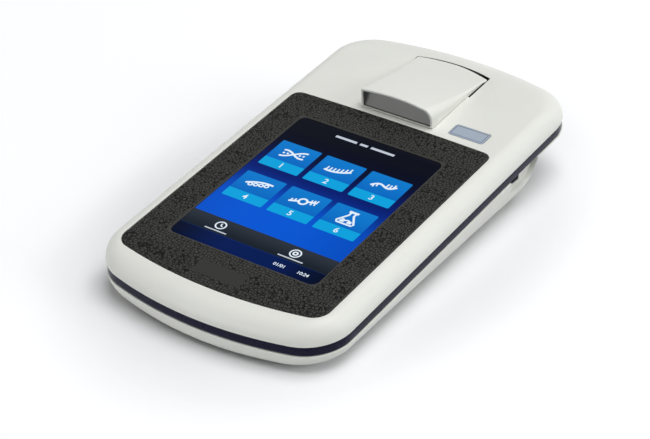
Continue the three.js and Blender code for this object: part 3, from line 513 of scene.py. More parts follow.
def arc_points(
    centre: tuple[float, float], radius: float, start: float, end: float, steps: int = 5
) -> list[tuple[float, float]]:
    """Points along an arc of a profile."""
    angles = np.radians(np.linspace(start, end, steps + 1))
    return [(centre[0] + radius * math.cos(a), centre[1] + radius * math.sin(a)) for a in angles]


class Value:
    """A number that varies over a surface. Arithmetic on it adds Math nodes."""

    def __init__(self, shader: Shader, socket: bpy.types.NodeSocket) -> None:
        """Wraps a socket."""
        self.shader = shader
        self.socket = socket

    def math(self, operation: str, *others: Value | float, clamp: bool = False, first: bool = True) -> Value:
        """Adds a Math node.

        Args:
            operation: The node's operation.
            others: Its other inputs.
            clamp: Whether the result is kept between 0 and 1.
            first: Whether this number is the first input.

        Returns:
            The result.
        """
        terms = [self, *others] if first else [*others, self]
        settings = {"operation": operation, "use_clamp": clamp}
        node = self.shader.node("ShaderNodeMath", settings, dict(enumerate(terms)))
        return Value(self.shader, node.outputs[0])

    def __add__(self, other: Value | float) -> Value:
        """The sum."""
        return self.math("ADD", other)

    def __sub__(self, other: Value | float) -> Value:
        """The difference."""
        return self.math("SUBTRACT", other)

    def __rsub__(self, other: float) -> Value:
        """The difference from a number."""
        return self.math("SUBTRACT", other, first=False)

    def __mul__(self, other: Value | float) -> Value:
        """The product."""
        return self.math("MULTIPLY", other)

    def __truediv__(self, other: Value | float) -> Value:
        """The quotient."""
        return self.math("DIVIDE", other)

    def __abs__(self) -> Value:
        """The size without the sign."""
        return self.math("ABSOLUTE")

    def __mod__(self, other: float) -> Value:
        """The remainder, which has the sign of the divisor."""
        return self.math("FLOORED_MODULO", other)

    __radd__ = __add__
    __rmul__ = __mul__

    def ease(self, low: float, high: float) -> Value:
        """Eases from 0 at low to 1 at high, or from 1 to 0 when low is the larger.

        Args:
            low: Where the result is 0.
            high: Where the result is 1.

        Returns:
            The eased number.
        """
        settings = {"interpolation_type": "SMOOTHSTEP", "clamp": True}
        ends = (0.0, 1.0) if low < high else (1.0, 0.0)
        inputs = {"Value": self, "From Min": min(low, high), "From Max": max(low, high), "To Min": ends[0]}
        node = self.shader.node("ShaderNodeMapRange", settings, {**inputs, "To Max": ends[1]})
        return Value(self.shader, node.outputs["Result"])

    def within(self, centre: float, half: float, blur: float) -> Value:
        """1 where the number is within a distance of a centre, with a soft edge."""
        return abs(self - centre).ease(half + blur, half - blur)


def linear(colour: Colour) -> tuple[float, float, float, float]:
    """A colour as written for a screen, 0 to 255, as Blender's linear numbers.

    Args:
        colour: Red, green and blue.

    Returns:
        Linear red, green and blue, and an alpha of 1.
    """
    share = np.array(colour) / 255.0
    low, high = share / 12.92, ((share + 0.055) / 1.055) ** 2.4
    return (*np.where(share <= 0.04045, low, high).tolist(), 1.0)


def toned(colour: Colour, share: float) -> Colour:
    """A colour made darker, or lighter up to white, by a factor."""
    return tuple(min(255.0, c * share) for c in colour)


class Shader:
    """A material's nodes. Places are Object coordinates, in the part's frame or the deck's."""

    def __init__(self, name: str) -> None:
        """Starts a material.

        Args:
            name: The material's name.
        """
        self.material = bpy.data.materials.new(name)
        self.material.use_nodes = True
        self.tree = self.material.node_tree
        self.surface = self.tree.nodes["Principled BSDF"]
        self.coordinates = self.node("ShaderNodeTexCoord", {}, {}).outputs["Object"]

    def node(self, kind: str, settings: dict[str, object], inputs: dict[int | str, object]) -> bpy.types.Node:
        """Adds any node.

        Args:
            kind: The node's type.
            settings: Its settings, which are set first.
            inputs: Values or links of its sockets, by name or number.

        Returns:
            The node.
        """
        node = self.tree.nodes.new(kind)
        for key, value in settings.items():
            setattr(node, key, value)
        for key, value in inputs.items():
            self.feed(node.inputs[key], value)
        return node

    def feed(self, socket: bpy.types.NodeSocket, value: object) -> None:
        """Links a socket or sets its value.

        Args:
            socket: The input socket.
            value: A Value, an output socket, or a plain value.
        """
        if isinstance(value, Value):
            self.tree.links.new(value.socket, socket)
        elif isinstance(value, bpy.types.NodeSocket):
            self.tree.links.new(value, socket)
        else:
            socket.default_value = value

    def millimetres(self, deck: Deck | None = None) -> tuple[Value, Value, Value]:
        """The place on the piece, in millimetres.

        Args:
            deck: The deck whose frame is used, or None for the part's frame.

        Returns:
            x, y and z.
        """
        settings = {"vector_type": "POINT"}
        inputs: dict[int | str, object] = {"Vector": self.coordinates, "Scale": (1 / MM,) * 3}
        place = self.node("ShaderNodeMapping", settings, inputs).outputs[0]
        if deck is not None:
            shift = (0.0, deck.middle_y, deck.height)
            inputs = {"Vector": place, "Location": shift, "Rotation": (deck.tilt, 0.0, 0.0)}
            place = self.node("ShaderNodeMapping", {"vector_type": "TEXTURE"}, inputs).outputs[0]
        axes = self.node("ShaderNodeSeparateXYZ", {}, {0: place}).outputs
        return Value(self, axes[0]), Value(self, axes[1]), Value(self, axes[2])

    def noise(
        self, size: float, detail: float = 2.0, stretch: Colour = (1.0, 1.0, 1.0), rough: float = 0.5
    ) -> Value:
        """Noise from about 0 to 1.

        Args:
            size: The size of its blotches, in millimetres.
            detail: The number of finer layers on it.
            stretch: How much it is drawn out along x, y and z.
            rough: How strong the finer layers are.

        Returns:
            The noise.
        """
        scale = tuple(1 / (MM * size * s) for s in stretch)
        place = self.node("ShaderNodeMapping", {}, {"Vector": self.coordinates, "Scale": scale}).outputs[0]
        inputs = {"Vector": place, "Scale": 1.0, "Detail": detail, "Roughness": rough}
        return Value(self, self.node("ShaderNodeTexNoise", {}, inputs).outputs["Fac"])

    def cells(self, size: float) -> Value:
        """The distance from the borders between irregular cells, as a share of their size.

        Args:
            size: The size of the cells, in millimetres.

        Returns:
            The distance, 0 on a border.
        """
        inputs = {"Vector": self.coordinates, "Scale": (1 / (MM * size),) * 3}
        place = self.node("ShaderNodeMapping", {}, inputs).outputs[0]
        inputs = {"Vector": place, "Scale": 1.0, "Randomness": 0.85}
        found = self.node("ShaderNodeTexVoronoi", {"feature": "DISTANCE_TO_EDGE"}, inputs)
        return Value(self, found.outputs["Distance"])

    def mix(self, first: object, second: object, share: Value | float) -> bpy.types.NodeSocket:
        """Mixes two colours.

        Args:
            first: The colour at 0, as 0 to 255 or as a socket.
            second: The colour at 1, likewise.
            share: The share of the second.

        Returns:
            The mixed colour.
        """
        settings = {"data_type": "RGBA", "clamp_factor": True}
        first, second = (linear(c) if isinstance(c, tuple) else c for c in (first, second))
        inputs = {0: share, 6: first, 7: second}
        return self.node("ShaderNodeMix", settings, inputs).outputs[2]

    def set(self, **inputs: object) -> None:
        """Sets or links the surface's sockets.

        Args:
            inputs: Values by the socket's name in lower case with underscores for spaces.
        """
        for key, value in inputs.items():
            name = key.replace("_", " ").title().replace("Ior", "IOR")
            self.feed(self.surface.inputs[name], value)

    def bump(self, height: Value, distance: float) -> bpy.types.NodeSocket:
        """Turns a height from 0 to 1 into the surface's direction, with 1 for a distance in millimetres."""
        inputs: dict[int | str, object] = {"Height": height, "Distance": distance * MM, "Strength": 1.0}
        return self.node("ShaderNodeBump", {}, inputs).outputs[0]


@dataclass(frozen=True)
class PaintedShade:
    """A box in the deck's frame, as low and high x, y and z, where a moulded piece has another tone.

    The tone is painted shade: a darker colour that stands for the shade that falls in the box. Its top can fall towards
    the rear, its edge along the right of the top can be round, and its rear can be an arc about a place on the middle
    line.
    """

    deck: Deck
    low: Colour
    high: Colour
    # The colour of the painted shade
    tone: Colour
    corner: float = 0.0
    fall: float = 0.0
    arc: tuple[float, float] | None = None

    def mask(self, shader: Shader) -> Value:
        """1 inside the box and 0 outside it.

        The top falls where z + fall * (y - low y) stands for z. The round corner is where the distance from
        the corner's centre, sqrt(u^2 + w^2), passes its radius. There u and w are how far the place is beyond
        the centre along x and z, or 0. The arc is where sqrt(x^2 + (y - centre)^2) passes its radius.

        Args:
            shader: The material's nodes.

        Returns:
            The mask.
        """
        blur = 0.05
        x, y, plain = shader.millimetres(self.deck)
        z = plain + (y - self.low[1]) * self.fall
        floor, top = self.low[2], self.high[2]
        result = plain.ease(floor - blur, floor + blur) * z.ease(top + blur, top - blur)
        for value, low, high in zip((x, y), self.low, self.high):
            result = result * value.within((low + high) / 2, (high - low) / 2, blur)
        if self.corner:
            u = (x - (self.high[0] - self.corner)).math("MAXIMUM", 0.0)
            w = (z - (top - self.corner)).math("MAXIMUM", 0.0)
            result = result * (u * u + w * w).math("SQRT").ease(self.corner + blur, self.corner - blur)
        if self.arc:
            centre, radius = self.arc
            v = y - centre
            result = result * (x * x + v * v).math("SQRT").ease(radius + blur, radius - blur)
        return result


@dataclass(frozen=True)
class Moulded:
    """Moulded plastic or rubber: a fine grain, faint clouds in its colour, and a roughness that varies."""

    name: str
    colour: Colour
    roughness: float = 0.42
    cloud: float = 0.05
    grain: float = 0.35
    depth: float = 0.012
    specular: float = 0.5
    # Boxes of painted shade: darker tones that stand for the shade falling there
    painted_shades: tuple[PaintedShade, ...] = ()

    def build(self) -> bpy.types.Material:
        """Makes the material.

        Returns:
            The material.
        """
        shader = Shader(self.name)
        clouds = shader.noise(38.0, 3.0)
        specks = shader.noise(0.9, 2.0)
        dark, light = toned(self.colour, 1 - self.cloud), toned(self.colour, 1 + self.cloud * 0.4)
        shade = shader.mix(dark, light, (clouds * 0.75 + specks * 0.25).ease(0.3, 0.7))
        # Painted shade: each box darkens the plastic's colour to stand for the shade that falls there
        for painted_shade in self.painted_shades:
            shade = shader.mix(shade, painted_shade.tone, painted_shade.mask(shader))
        wear = shader.noise(9.0, 4.0, rough=0.6)
        grain = shader.noise(self.grain, 1.0)
        shader.set(base_color=shade, roughness=wear * 0.1 + (self.roughness - 0.05))
        shader.set(specular_ior_level=self.specular)
        shader.set(normal=shader.bump(grain, self.depth))
        return shader.material


@dataclass(frozen=True)
class Metal:
    """Metal with fine lines drawn along one axis, faint stains and a roughness that follows the lines."""

    name: str
    colour: Colour
    roughness: float = 0.3
    lines: Colour = (20.0, 0.4, 0.4)
    depth: float = 0.006

    def build(self) -> bpy.types.Material:
        """Makes the material.

        Returns:
            The material.
        """
        shader = Shader(self.name)
        lines = shader.noise(0.5, 2.0, self.lines)
        stain = shader.noise(6.0, 3.0)
        share = (lines * 0.5 + stain * 0.5).ease(0.3, 0.7)
        tone = shader.mix(toned(self.colour, 0.82), self.colour, share)
        shader.set(base_color=tone, metallic=1.0, roughness=lines * 0.2 + (self.roughness - 0.1))
        shader.set(normal=shader.bump(lines, self.depth))
        return shader.material


@dataclass(frozen=True)
class Clear:
    """Coated glass or a clear lens, shown as a deep glossy colour with a faint bloom."""

    name: str
    colour: Colour
    roughness: float = 0.08

    def build(self) -> bpy.types.Material:
        """Makes the material.

        Returns:
            The material.
        """
        shader = Shader(self.name)
        bloom = shader.noise(2.5, 2.0)
        shader.set(base_color=shader.mix(toned(self.colour, 0.6), self.colour, bloom.ease(0.2, 0.8)))
        shader.set(roughness=bloom * 0.06 + self.roughness, coat_weight=0.6, coat_roughness=0.05)
        return shader.material


@dataclass(frozen=True)
class Laminate:
    """A circuit board: a green mask with copper tracks showing faintly through it, and bare pads."""

    name: str
    colour: Colour = (20, 82, 46)
    track: Colour = (58, 128, 70)
    pad: Colour = (190, 176, 120)
    pitch: float = 5.08

    def build(self) -> bpy.types.Material:
        """Makes the material.

        The tracks are the lines where a coarse noise passes its middle. The pads are diamonds at a pitch: the
        places where |x| + |y| from the middle of each cell is small.

        Returns:
            The material.
        """
        shader = Shader(self.name)
        x, y, _ = shader.millimetres()
        tracks = abs(shader.noise(9.0, 0.0, (1.0, 3.0, 1.0)) - 0.5).ease(0.03, 0.012)
        pads = (abs(x % self.pitch - self.pitch / 2) + abs(y % self.pitch - self.pitch / 2)).ease(0.75, 0.6)
        weave = shader.noise(0.5, 1.0)
        shade = shader.mix(self.colour, self.track, tracks)
        shade = shader.mix(shade, self.pad, pads)
        shader.set(base_color=shade, roughness=weave * 0.15 + 0.3, normal=shader.bump(tracks, 0.03))
        return shader.material


@dataclass(frozen=True)
class Ribbon:
    """A flat ribbon cable: parallel conductors under a clear film."""

    name: str

    def build(self) -> bpy.types.Material:
        """Makes the material. The conductors repeat each millimetre along x.

        Returns:
            The material.
        """
        shader = Shader(self.name)
        x, _, _ = shader.millimetres()
        wires = abs(x % 1.0 - 0.5).ease(0.34, 0.24)
        shade = shader.mix((214, 200, 168), (186, 150, 96), wires)
        shader.set(base_color=shade, roughness=0.3 + wires * 0.1, normal=shader.bump(wires, 0.05))
        return shader.material


@dataclass(frozen=True)
class MazePanel:
    """The dark panel: cells parted by fine darker grooves, with none on a patch or at the edges."""

    name: str
    deck: Deck
    panel: Panel

    def build(self) -> bpy.types.Material:
        """Makes the material.

        The grooves are the borders between irregular cells. The mask that keeps them off the window's rim is
        the distance to a rectangle, the larger of the two distances along x and y. The patch's mask is the
        product of one along x and one along y.

        Returns:
            The material.
        """
        shader = Shader(self.name)
        x, y, _ = shader.millimetres(self.deck)
        panel = self.panel
        maze = shader.cells(1.7).ease(0.15, 0.05)
        fine = shader.noise(0.5, 1.0)
        patch = abs(x - panel.patch_x).ease(panel.patch_half_width, panel.patch_half_width - 0.8)
        patch = patch * abs(y - panel.patch_y).ease(panel.patch_half_length, panel.patch_half_length - 0.8)
        rim_x = abs(x) - panel.window_width / 2
        rim_y = abs(y) - panel.window_length / 2
        rim = rim_x.math("MAXIMUM", rim_y).ease(panel.rim + 0.3, panel.rim)
        edge = abs(x).ease(panel.outline.half - 0.9, panel.outline.half - 0.5)
        plain = patch.math("MAXIMUM", rim).math("MAXIMUM", edge)
        lines = maze * (1 - plain)
        clouds = shader.noise(30.0, 2.0)
        shade = shader.mix((64, 64, 62), (16, 16, 15), lines)
        shade = shader.mix(shade, (50, 50, 49), clouds * 0.15)
        shade = shader.mix(shade, (52, 52, 50), patch * 0.8)
        shader.set(base_color=shade, roughness=0.55 + lines * 0.12, specular_ior_level=0.04)
        shader.set(normal=shader.bump(lines * -1.0 + fine * 0.2, 0.06))
        return shader.material


@dataclass(frozen=True)
class Picture:
    """The lit screen: a band at the top, six tiles with a pale strip, a bar for two buttons, and a foot."""

    name: str
    deck: Deck
    screen: Screen

    def build(self) -> bpy.types.Material:
        """Makes the material.

        The tiles repeat with the remainder of the place by their pitch. Each mask is 1 inside a rectangle,
        and the colours under it are mixed in order: backdrop, tiles, strips, bar, foot and band.

        Returns:
            The material.
        """
        shader = Shader(self.name)
        x, y, _ = shader.millimetres(self.deck)
        s = self.screen
        soft = 0.18
        glow = y.ease(s.band_low + 4.0, s.bar_high)
        shade = shader.mix((2, 6, 26), (0, 30, 116), glow.ease(0.0, 0.55))
        middle = 1 - abs(x + 6.0).ease(10.0, 62.0) * 0.3
        shade = shader.mix(shade, (0, 86, 210), glow.ease(0.42, 0.95) * middle)
        across = (x + s.pitch_x / 2) % s.pitch_x - s.pitch_x / 2
        along = (y - s.row_y) % s.pitch_y - s.pitch_y / 2
        half_width, half_length = s.tile_width / 2, s.tile_length / 2
        diagonal = half_width + half_length - 0.5
        corner = (abs(across) + abs(along)).ease(diagonal + soft, diagonal - soft)
        tile = across.within(0.0, half_width, soft) * along.within(0.0, half_length, soft)
        tile = tile * x.within(0.0, s.pitch_x * 1.5, soft) * y.within(s.row_y, s.pitch_y, soft)
        tile = tile * corner
        strip_line = s.strip_top - half_length
        strip = tile * along.ease(strip_line + soft, strip_line - soft)
        face = shader.mix((0, 98, 188), (8, 120, 203), along.ease(-half_length, half_length))
        shade = shader.mix(shade, face, tile)
        shade = shader.mix(shade, (6, 160, 220), strip)
        bar = y.within((s.bar_low + s.bar_high) / 2, (s.bar_high - s.bar_low) / 2, soft)
        bar_shade = shader.mix((22, 31, 41), (42, 50, 60), y.ease(s.bar_low, s.bar_high))
        shade = shader.mix(shade, bar_shade, bar)
        foot = y.ease(s.bar_low + soft, s.bar_low - soft)
        foot_shade = shader.mix((0, 10, 36), (0, 26, 84), abs(x).ease(46.0, 10.0))
        shade = shader.mix(shade, foot_shade, foot)
        band = y.ease(s.band_low - soft, s.band_low + soft)
        shade = shader.mix(shade, (5, 10, 23), band)
        shader.set(base_color=linear((4, 4, 6)), emission_color=shade, emission_strength=1.0)
        shader.set(roughness=0.13 + shader.noise(14.0, 2.0) * 0.05, specular_ior_level=0.012)
        return shader.material


@dataclass(frozen=True)
class Lit:
    """A mark on the lit screen."""

    name: str
    colour: Colour
    strength: float = 1.0

    def build(self) -> bpy.types.Material:
        """Makes the material. A faint noise stands for the screen's cells.

        Returns:
            The material.
        """
        shader = Shader(self.name)
        cells = shader.noise(0.6, 1.0)
        shade = shader.mix(toned(self.colour, 0.93), self.colour, cells)
        shader.set(base_color=linear((30, 30, 32)), emission_color=shade, emission_strength=self.strength)
        shader.set(roughness=0.2 + cells * 0.05)
        return shader.material


@dataclass(frozen=True)
class BadgePlate:
    """The bare badge: satin silver-blue with a plain darker line along its border."""

    name: str
    deck: Deck
    badge: Badge

    def build(self) -> bpy.types.Material:
        """Makes the material. The line is where the distance in from the edge lies between two sizes.

        Returns:
            The material.
        """
        shader = Shader(self.name)
        x, y, _ = shader.millimetres(self.deck)
        badge = self.badge
        in_x = (abs(x - badge.x) - badge.width / 2) * -1.0
        in_y = (abs(y - badge.y) - badge.length / 2) * -1.0
        border = in_x.math("MINIMUM", in_y).within(0.95, 0.22, 0.1)
        lines = shader.noise(0.5, 2.0, (30.0, 0.5, 0.5))
        clouds = shader.noise(7.0, 2.0)
        shade = shader.mix((138, 151, 168), (164, 174, 187), lines * 0.5 + clouds * 0.5)
        shade = shader.mix(shade, (88, 100, 124), border)
        shader.set(base_color=shade, metallic=0.55, roughness=lines * 0.15 + 0.3)
        shader.set(normal=shader.bump(border * -1.0 + lines * 0.1, 0.04))
        return shader.material


@dataclass(frozen=True)
class Deck:
    """The deck's frame: how far it tilts, and where the centre of the window is in the part's frame."""

    tilt: float
    middle_y: float
    height: float

    def __call__(self, points: Array) -> Array:
        """Moves points from the deck's frame to the part's: a turn about x, then a shift.

        Args:
            points: Points in the deck's frame.

        Returns:
            The points in the part's frame.
        """
        x, y, z = points.T
        c, s = math.cos(self.tilt), math.sin(self.tilt)
        return np.column_stack([x, self.middle_y + y * c - z * s, self.height + y * s + z * c])

    def back(self, points: Array) -> Array:
        """Moves points from the part's frame to the deck's.

        Args:
            points: Points in the part's frame.

        Returns:
            The points in the deck's frame.
        """
        x, y, z = (points - [0.0, self.middle_y, self.height]).T
        c, s = math.cos(self.tilt), math.sin(self.tilt)
        return np.column_stack([x, y * c + z * s, z * c - y * s])


@dataclass(frozen=True)
class Case:
    """The sizes that the shells, the stripe and the panel share."""

    tilt_degrees: float = 4.64
    screen_height: float = 33.0
    rim: Outline = Outline(69.4, 96.57, 157.37, 200.0, 25.0, 220.0, 27.0)
    top: Outline = Outline(60.7, 84.7, 138.4, 240.0, 9.7, 220.0, 14.0)
    wall: float = 2.4
    gap: float = 0.3
    stripe_drop: float = 10.6
    stripe_height: float = 4.8
    stripe_thickness: float = 3.0
    lip_thickness: float = 1.5
    lip_rise: float = 1.2
    shelf: float = 3.0
    bevel: float = 0.35

    @property
    def seam(self) -> float:
        """How far the lower shell's rim lies below the deck."""
        return self.stripe_drop + self.stripe_height + self.gap

    @property
    def reaches(self) -> tuple[float, float]:
        """How far the case reaches in front of and behind the window's centre, measured level."""
        c, s = math.cos(math.radians(self.tilt_degrees)), math.sin(math.radians(self.tilt_degrees))
        front = self.rim.front * c - (self.stripe_drop - self.gap) * s
        return front, self.rim.rear * c + self.seam * s

    @property
    def deck(self) -> Deck:
        """The deck's frame, with the case's middle over the origin."""
        front, rear = self.reaches
        return Deck(math.radians(self.tilt_degrees), (front - rear) / 2, self.screen_height)


@dataclass(frozen=True)
class Panel:
    """The dark panel round the window, and the bare patch on it."""

    outline: Outline = Outline(60.0, 83.9, 77.0, 240.0, 9.0, 1500.0, 5.0)
    thickness: float = 1.2
    window_width: float = 86.4
    window_length: float = 115.2
    window_corner: float = 4.0
    rim: float = 0.75
    edge: float = 0.3
    patch_x: float = -0.8
    patch_y: float = -72.4
    patch_half_width: float = 14.0
    patch_half_length: float = 5.2

    def window(self, by: float) -> Array:
        """The window's outline, grown."""
        return rounded_rectangle(self.window_width + 2 * by, self.window_length + 2 * by, self.window_corner + by)

    def build(self, deck: Deck) -> bpy.types.Object:
        """Makes the panel: its outer wall, a rounded edge, its face, a rounded edge and the window's wall.

        Args:
            deck: The deck's frame.

        Returns:
            The object.
        """
        surface = Surface(deck)
        outer = rounded_edge(lambda by: self.outline.grown(by).points(), 0.0, self.edge)
        foot = level(self.outline.points(), -self.thickness)
        hole = rounded_edge(self.window, 0.0, self.edge, side=1)
        hole_foot = level(self.window(0.0), -self.thickness)
        surface.strip([foot, *outer]).cap(outer[-1], [hole[-1]])
        surface.strip([*hole[::-1], hole_foot]).cap(foot, [hole_foot])
        return surface.build("screen_panel")


@dataclass(frozen=True)
class Badge:
    """The bare plate beside the lid, and its seat."""

    x: float = 40.4
    y: float = 86.7
    width: float = 20.2
    length: float = 9.4
    thickness: float = 0.8
    seat: float = 0.7
    corner: float = 1.2
    edge: float = 0.12

    def loop(self, by: float) -> Array:
        """The plate's outline, grown."""
        return rounded_rectangle(self.width + 2 * by, self.length + 2 * by, self.corner + by, self.x, self.y)

    def build(self, deck: Deck) -> bpy.types.Object:
        """Makes the plate."""
        return solid("silver_badge", self.loop, -self.seat, self.thickness - self.seat, deck, self.edge)


@dataclass(frozen=True)
class Well:
    """The sample tube's well: a flange in the deck and an upright sleeve under it."""

    y: float = 99.5
    tube: float = 4.0
    sleeve: float = 1.5
    depth: float = 30.0
    flange: float = 8.5
    flange_thickness: float = 1.3
    boss: float = 12.0
    boss_depth: float = 3.6

    def build(self, deck: Deck, gap: float) -> bpy.types.Object:
        """Turns the flange about the deck's normal and the sleeve about an upright line, and joins them.

        Args:
            deck: The deck's frame.
            gap: The gap between pieces.

        Returns:
            The object.
        """
        top, low, bore = -gap, -gap - self.flange_thickness, self.tube + 0.15
        edge = arc_points((self.flange - 0.3, top - 0.3), 0.3, 0.0, 90.0)
        mouth = arc_points((bore + 0.9, top - 0.9), 0.9, 90.0, 180.0)
        profile = [(bore, low), (self.flange, low), *edge, *mouth]
        spot = Spot(0.0, self.y, 0.0)
        flange = lathe("flange", profile, lambda points: deck(spot(points)))
        x, y, z = deck(np.array([[0.0, self.y, 0.0]]))[0]
        outer = self.tube + self.sleeve
        floor, foot = z - self.depth, z - self.depth - self.sleeve
        brim = z + low + 0.4
        profile = [(0.0, foot), (outer - 0.4, foot), (outer, foot + 0.4), (outer, brim), (self.tube, brim)]
        profile += [(self.tube, floor + 9.0), (1.6, floor + 0.6), (0.0, floor + 0.2)]
        sleeve = lathe("sleeve", profile, Spot(x, y, 0.0))
        return merge("sample_well", [flange, sleeve])


@dataclass(frozen=True)
class Lid:
    """The lid over the well: high and open to a fingertip at its front, falling to the deck at its rear."""

    half: float = 21.7
    front: float = 80.5
    rear: float = 139.8
    rear_bow: float = 77.0
    height: float = 12.7
    rear_thickness: float = 2.4
    crown: float = 1.4
    corner: float = 6.0
    left_corner: float = 1.4
    wall: float = 1.6
    foot_gap: float = 0.4
    slope_power: float = 1.3
    rear_wall: float = 5.0
    finger_depth: float = 6.0
    finger_foot: float = 1.2
    finger_sill: float = 0.6
    finger_rim: float = 1.2
    edge: float = 0.45
    rear_slack: float = 1.9
    side_swell: float = 0.6
    bay_front: float = 116.3
    bay_gap: float = 0.9
    bay_wall: float = 2.0
    bay_lip: float = 1.2
    bay_swing: float = 1.4
    hinge_y: float = 132.0
    hinge_drop: float = 3.2
    knuckle: float = 2.9
    knuckle_width: float = 7.0
    knuckle_x: float = 15.0
    liner_lift: float = 2.0
    liner_thickness: float = 1.3
    liner_hole: float = 8.0
    liner_length: float = 22.0
    seal_inner: float = 9.0
    seal_outer: float = 10.4
    seal_lift: float = 0.35

    @property
    def bay_floor(self) -> float:
        """The height of the bay's floor, which clears the lid's rear edge as it swings down."""
        return -(self.hinge_drop + self.rear - self.hinge_y + self.bay_swing)

    @property
    def finger_roof(self) -> float:
        """The height of the fingertip recess's roof at the front."""
        return self.height - self.finger_rim

    def plan(self, by: float, rear_by: float | None = None) -> Array:
        """The bay that the lid's rear sits in, seen from above: straight sides and an arc at the rear.

        Args:
            by: How far it is grown from the bay's own outline.
            rear_by: How far its rear is grown, if that differs.

        Returns:
            Points in x and y.
        """
        half = self.half + self.bay_gap + by
        radius = self.rear_bow + self.bay_gap + (by if rear_by is None else rear_by)
        turn = math.asin(half / radius)
        angle = np.linspace(turn, -turn, 49)
        arc = np.column_stack([radius * np.sin(angle), self.rear - self.rear_bow + radius * np.cos(angle)])
        front = self.bay_front - by
        side = np.linspace([half, front], arc[0], 8)[:-1]
        other = np.linspace(arc[-1], [-half, front], 8)[1:]
        return np.concatenate([side, arc, other])

    def rear_edge(self, x: Array) -> Array:
        """The y of the lid's rear edge: the arc's centre plus sqrt(radius^2 - x^2), less at the right."""
        arc = self.rear - self.rear_bow + np.sqrt(self.rear_bow**2 - x**2)
        return arc - self.rear_slack * smooth_share(x, 0.0, self.half + 3.0)

    def swell(self, x: Array, y: Array) -> Array:
        """How far the sides stand out beside the bay: all along it at the left, at its end at the right.

        Args:
            x: Places across the lid.
            y: Places along it.

        Returns:
            The change of x at each of them, which grows with the distance from the middle.
        """
        left = smooth_share(y, self.bay_front - 1.0, self.bay_front + 4.0)
        right = smooth_share(y, self.rear - 8.5, self.rear - 6.0)
        return self.side_swell * x / self.half * np.where(x < 0, left, right)

    def share(self, y: Array | float) -> Array:
        """The share of its full height that the lid has at y: (1 - along)^power."""
        return np.clip(1 - (y - self.front) / (self.rear - self.front), 0.0, None) ** self.slope_power

    def section(
        self, share_along: float, inset: float, floor: float, end: float | None = None, sloping: bool = False
    ) -> Array:
        """One ring of the lid: up its right side, over its top, down its left side and back along its foot.

        Each side stands upright up to a quarter circle, a tight one at the left, and the top between them is
        a parabola that is a crown higher in its middle. The ring bends to the rear edge's arc:
        y = front + along * (rear edge at x - front).

        Args:
            share_along: The share of the way from the front to the rear.
            inset: How far the ring is drawn in.
            floor: The height of its foot.
            end: The y of a straight rear end, or None for the lid's own arc.
            sloping: Whether the ring lies on the recess's sloping back instead.

        Returns:
            Points in the deck's frame. The first half runs over the top, and the second one along the foot.
        """
        half = self.half - inset
        nominal = self.front + share_along * ((end or self.rear) - self.front)
        full, shrink = float(self.share(nominal)), (half - inset) / half
        right, left = (max(size * full, self.wall / 2) * shrink for size in (self.corner, self.left_corner))
        angle = np.linspace(0.0, math.pi / 2, 13)
        across = np.linspace(half - right, left - half, 25)[1:-1]
        inward = 1 - np.cos(angle)
        x = np.concatenate([[half], half - right * inward, across, (left * inward - half)[::-1], [-half]])
        down = 1 - np.sin(angle)
        fall = np.concatenate([right * down, np.zeros(len(across)), left * down[::-1]])
        bulge = np.minimum(1.0, (x[1:-1] / (half - np.where(x[1:-1] > 0, right, left))) ** 2)
        stop = self.rear_edge(x) if end is None else np.full(len(x), end)
        y = self.front + share_along * (stop - self.front)
        for _ in range(8 if sloping else 1):
            share = self.share(y[1:-1])
            top = self.height * share - inset - self.crown * share * bulge - fall
            z = np.concatenate([[floor], top, [floor]])
            if sloping:
                y = self.front + self.finger_foot + (self.finger_depth - self.finger_foot) * z / self.finger_roof
        over = np.column_stack([x + self.swell(x, y) if end is None else x, y, z])
        under = over[::-1][1:-1] * [1.0, 1.0, 0.0] + [0.0, 0.0, floor]
        if sloping:
            under[:, 1] = y[0]
        return np.concatenate([over, under])

    def close(self, surface: Surface, ring: Array) -> None:
        """Closes an end of the lid: the points over the top are joined to those of the foot below them.

        Args:
            surface: The surface that is closed.
            ring: The ring at that end.
        """
        count = len(ring) // 2 + 1
        over = ring[:count]
        under = np.concatenate([over[:1], ring[count:][::-1], over[-1:]])
        surface.strip([over, under], closed=False)

    def cover(self, deck: Deck) -> bpy.types.Object:
        """Makes the cover: its skin, rounded front rim, sloping fingertip recess and hollow underside.

        Args:
            deck: The deck's frame.

        Returns:
            The object.
        """
        length = self.rear - self.front
        step = (self.bay_front + self.bay_gap / 2 - self.front) / length
        along = np.linspace(self.edge / length, 1.0, 44)
        fore = [*along[along < step], step]
        aft = [step, *along[along > step]]
        rings = [self.section(t, 0.0, -self.rear_thickness) for t in aft[::-1]]
        rings += [self.section(t, 0.0, self.foot_gap) for t in fore[::-1]]
        bends = np.linspace(0.0, math.pi / 2, 6)[1:]
        for a in bends:
            inset = self.edge * (1 - math.cos(a))
            rings.append(self.section(self.edge * (1 - math.sin(a)) / length, inset, self.foot_gap + inset))
        sill = self.foot_gap + self.finger_sill
        inner_edge = self.edge * 0.6
        for a in bends[::-1]:
            inset = self.finger_rim - inner_edge * (1 - math.cos(a))
            low = sill - inner_edge * (1 - math.cos(a)) * 0.5
            rings.append(self.section(inner_edge * (1 - math.sin(a)) / length, inset, low))
        rings.append(self.section(inner_edge / length, self.finger_rim, sill, sloping=True))
        surface = Surface(deck).strip(rings)
        self.close(surface, rings[0])
        self.close(surface, rings[-1])
        skin = surface.build("lid_cover", 40.0)
        return carve(skin, [self.hollow(deck)], 40.0)

    def hollow(self, deck: Deck) -> bpy.types.Object:
        """Makes the room inside the lid as a closed solid.

        Args:
            deck: The deck's frame.

        Returns:
            The object.
        """
        start, end = self.front + self.finger_depth + self.wall, self.rear - self.rear_wall
        shares = (np.linspace(end, start, 24) - self.front) / (end - self.front)
        rings = [self.section(float(t), self.wall, -self.rear_thickness - 2.0, end) for t in shares]
        surface = Surface(deck).strip(rings)
        self.close(surface, rings[0])
        self.close(surface, rings[-1])
        return surface.build("lid_room")

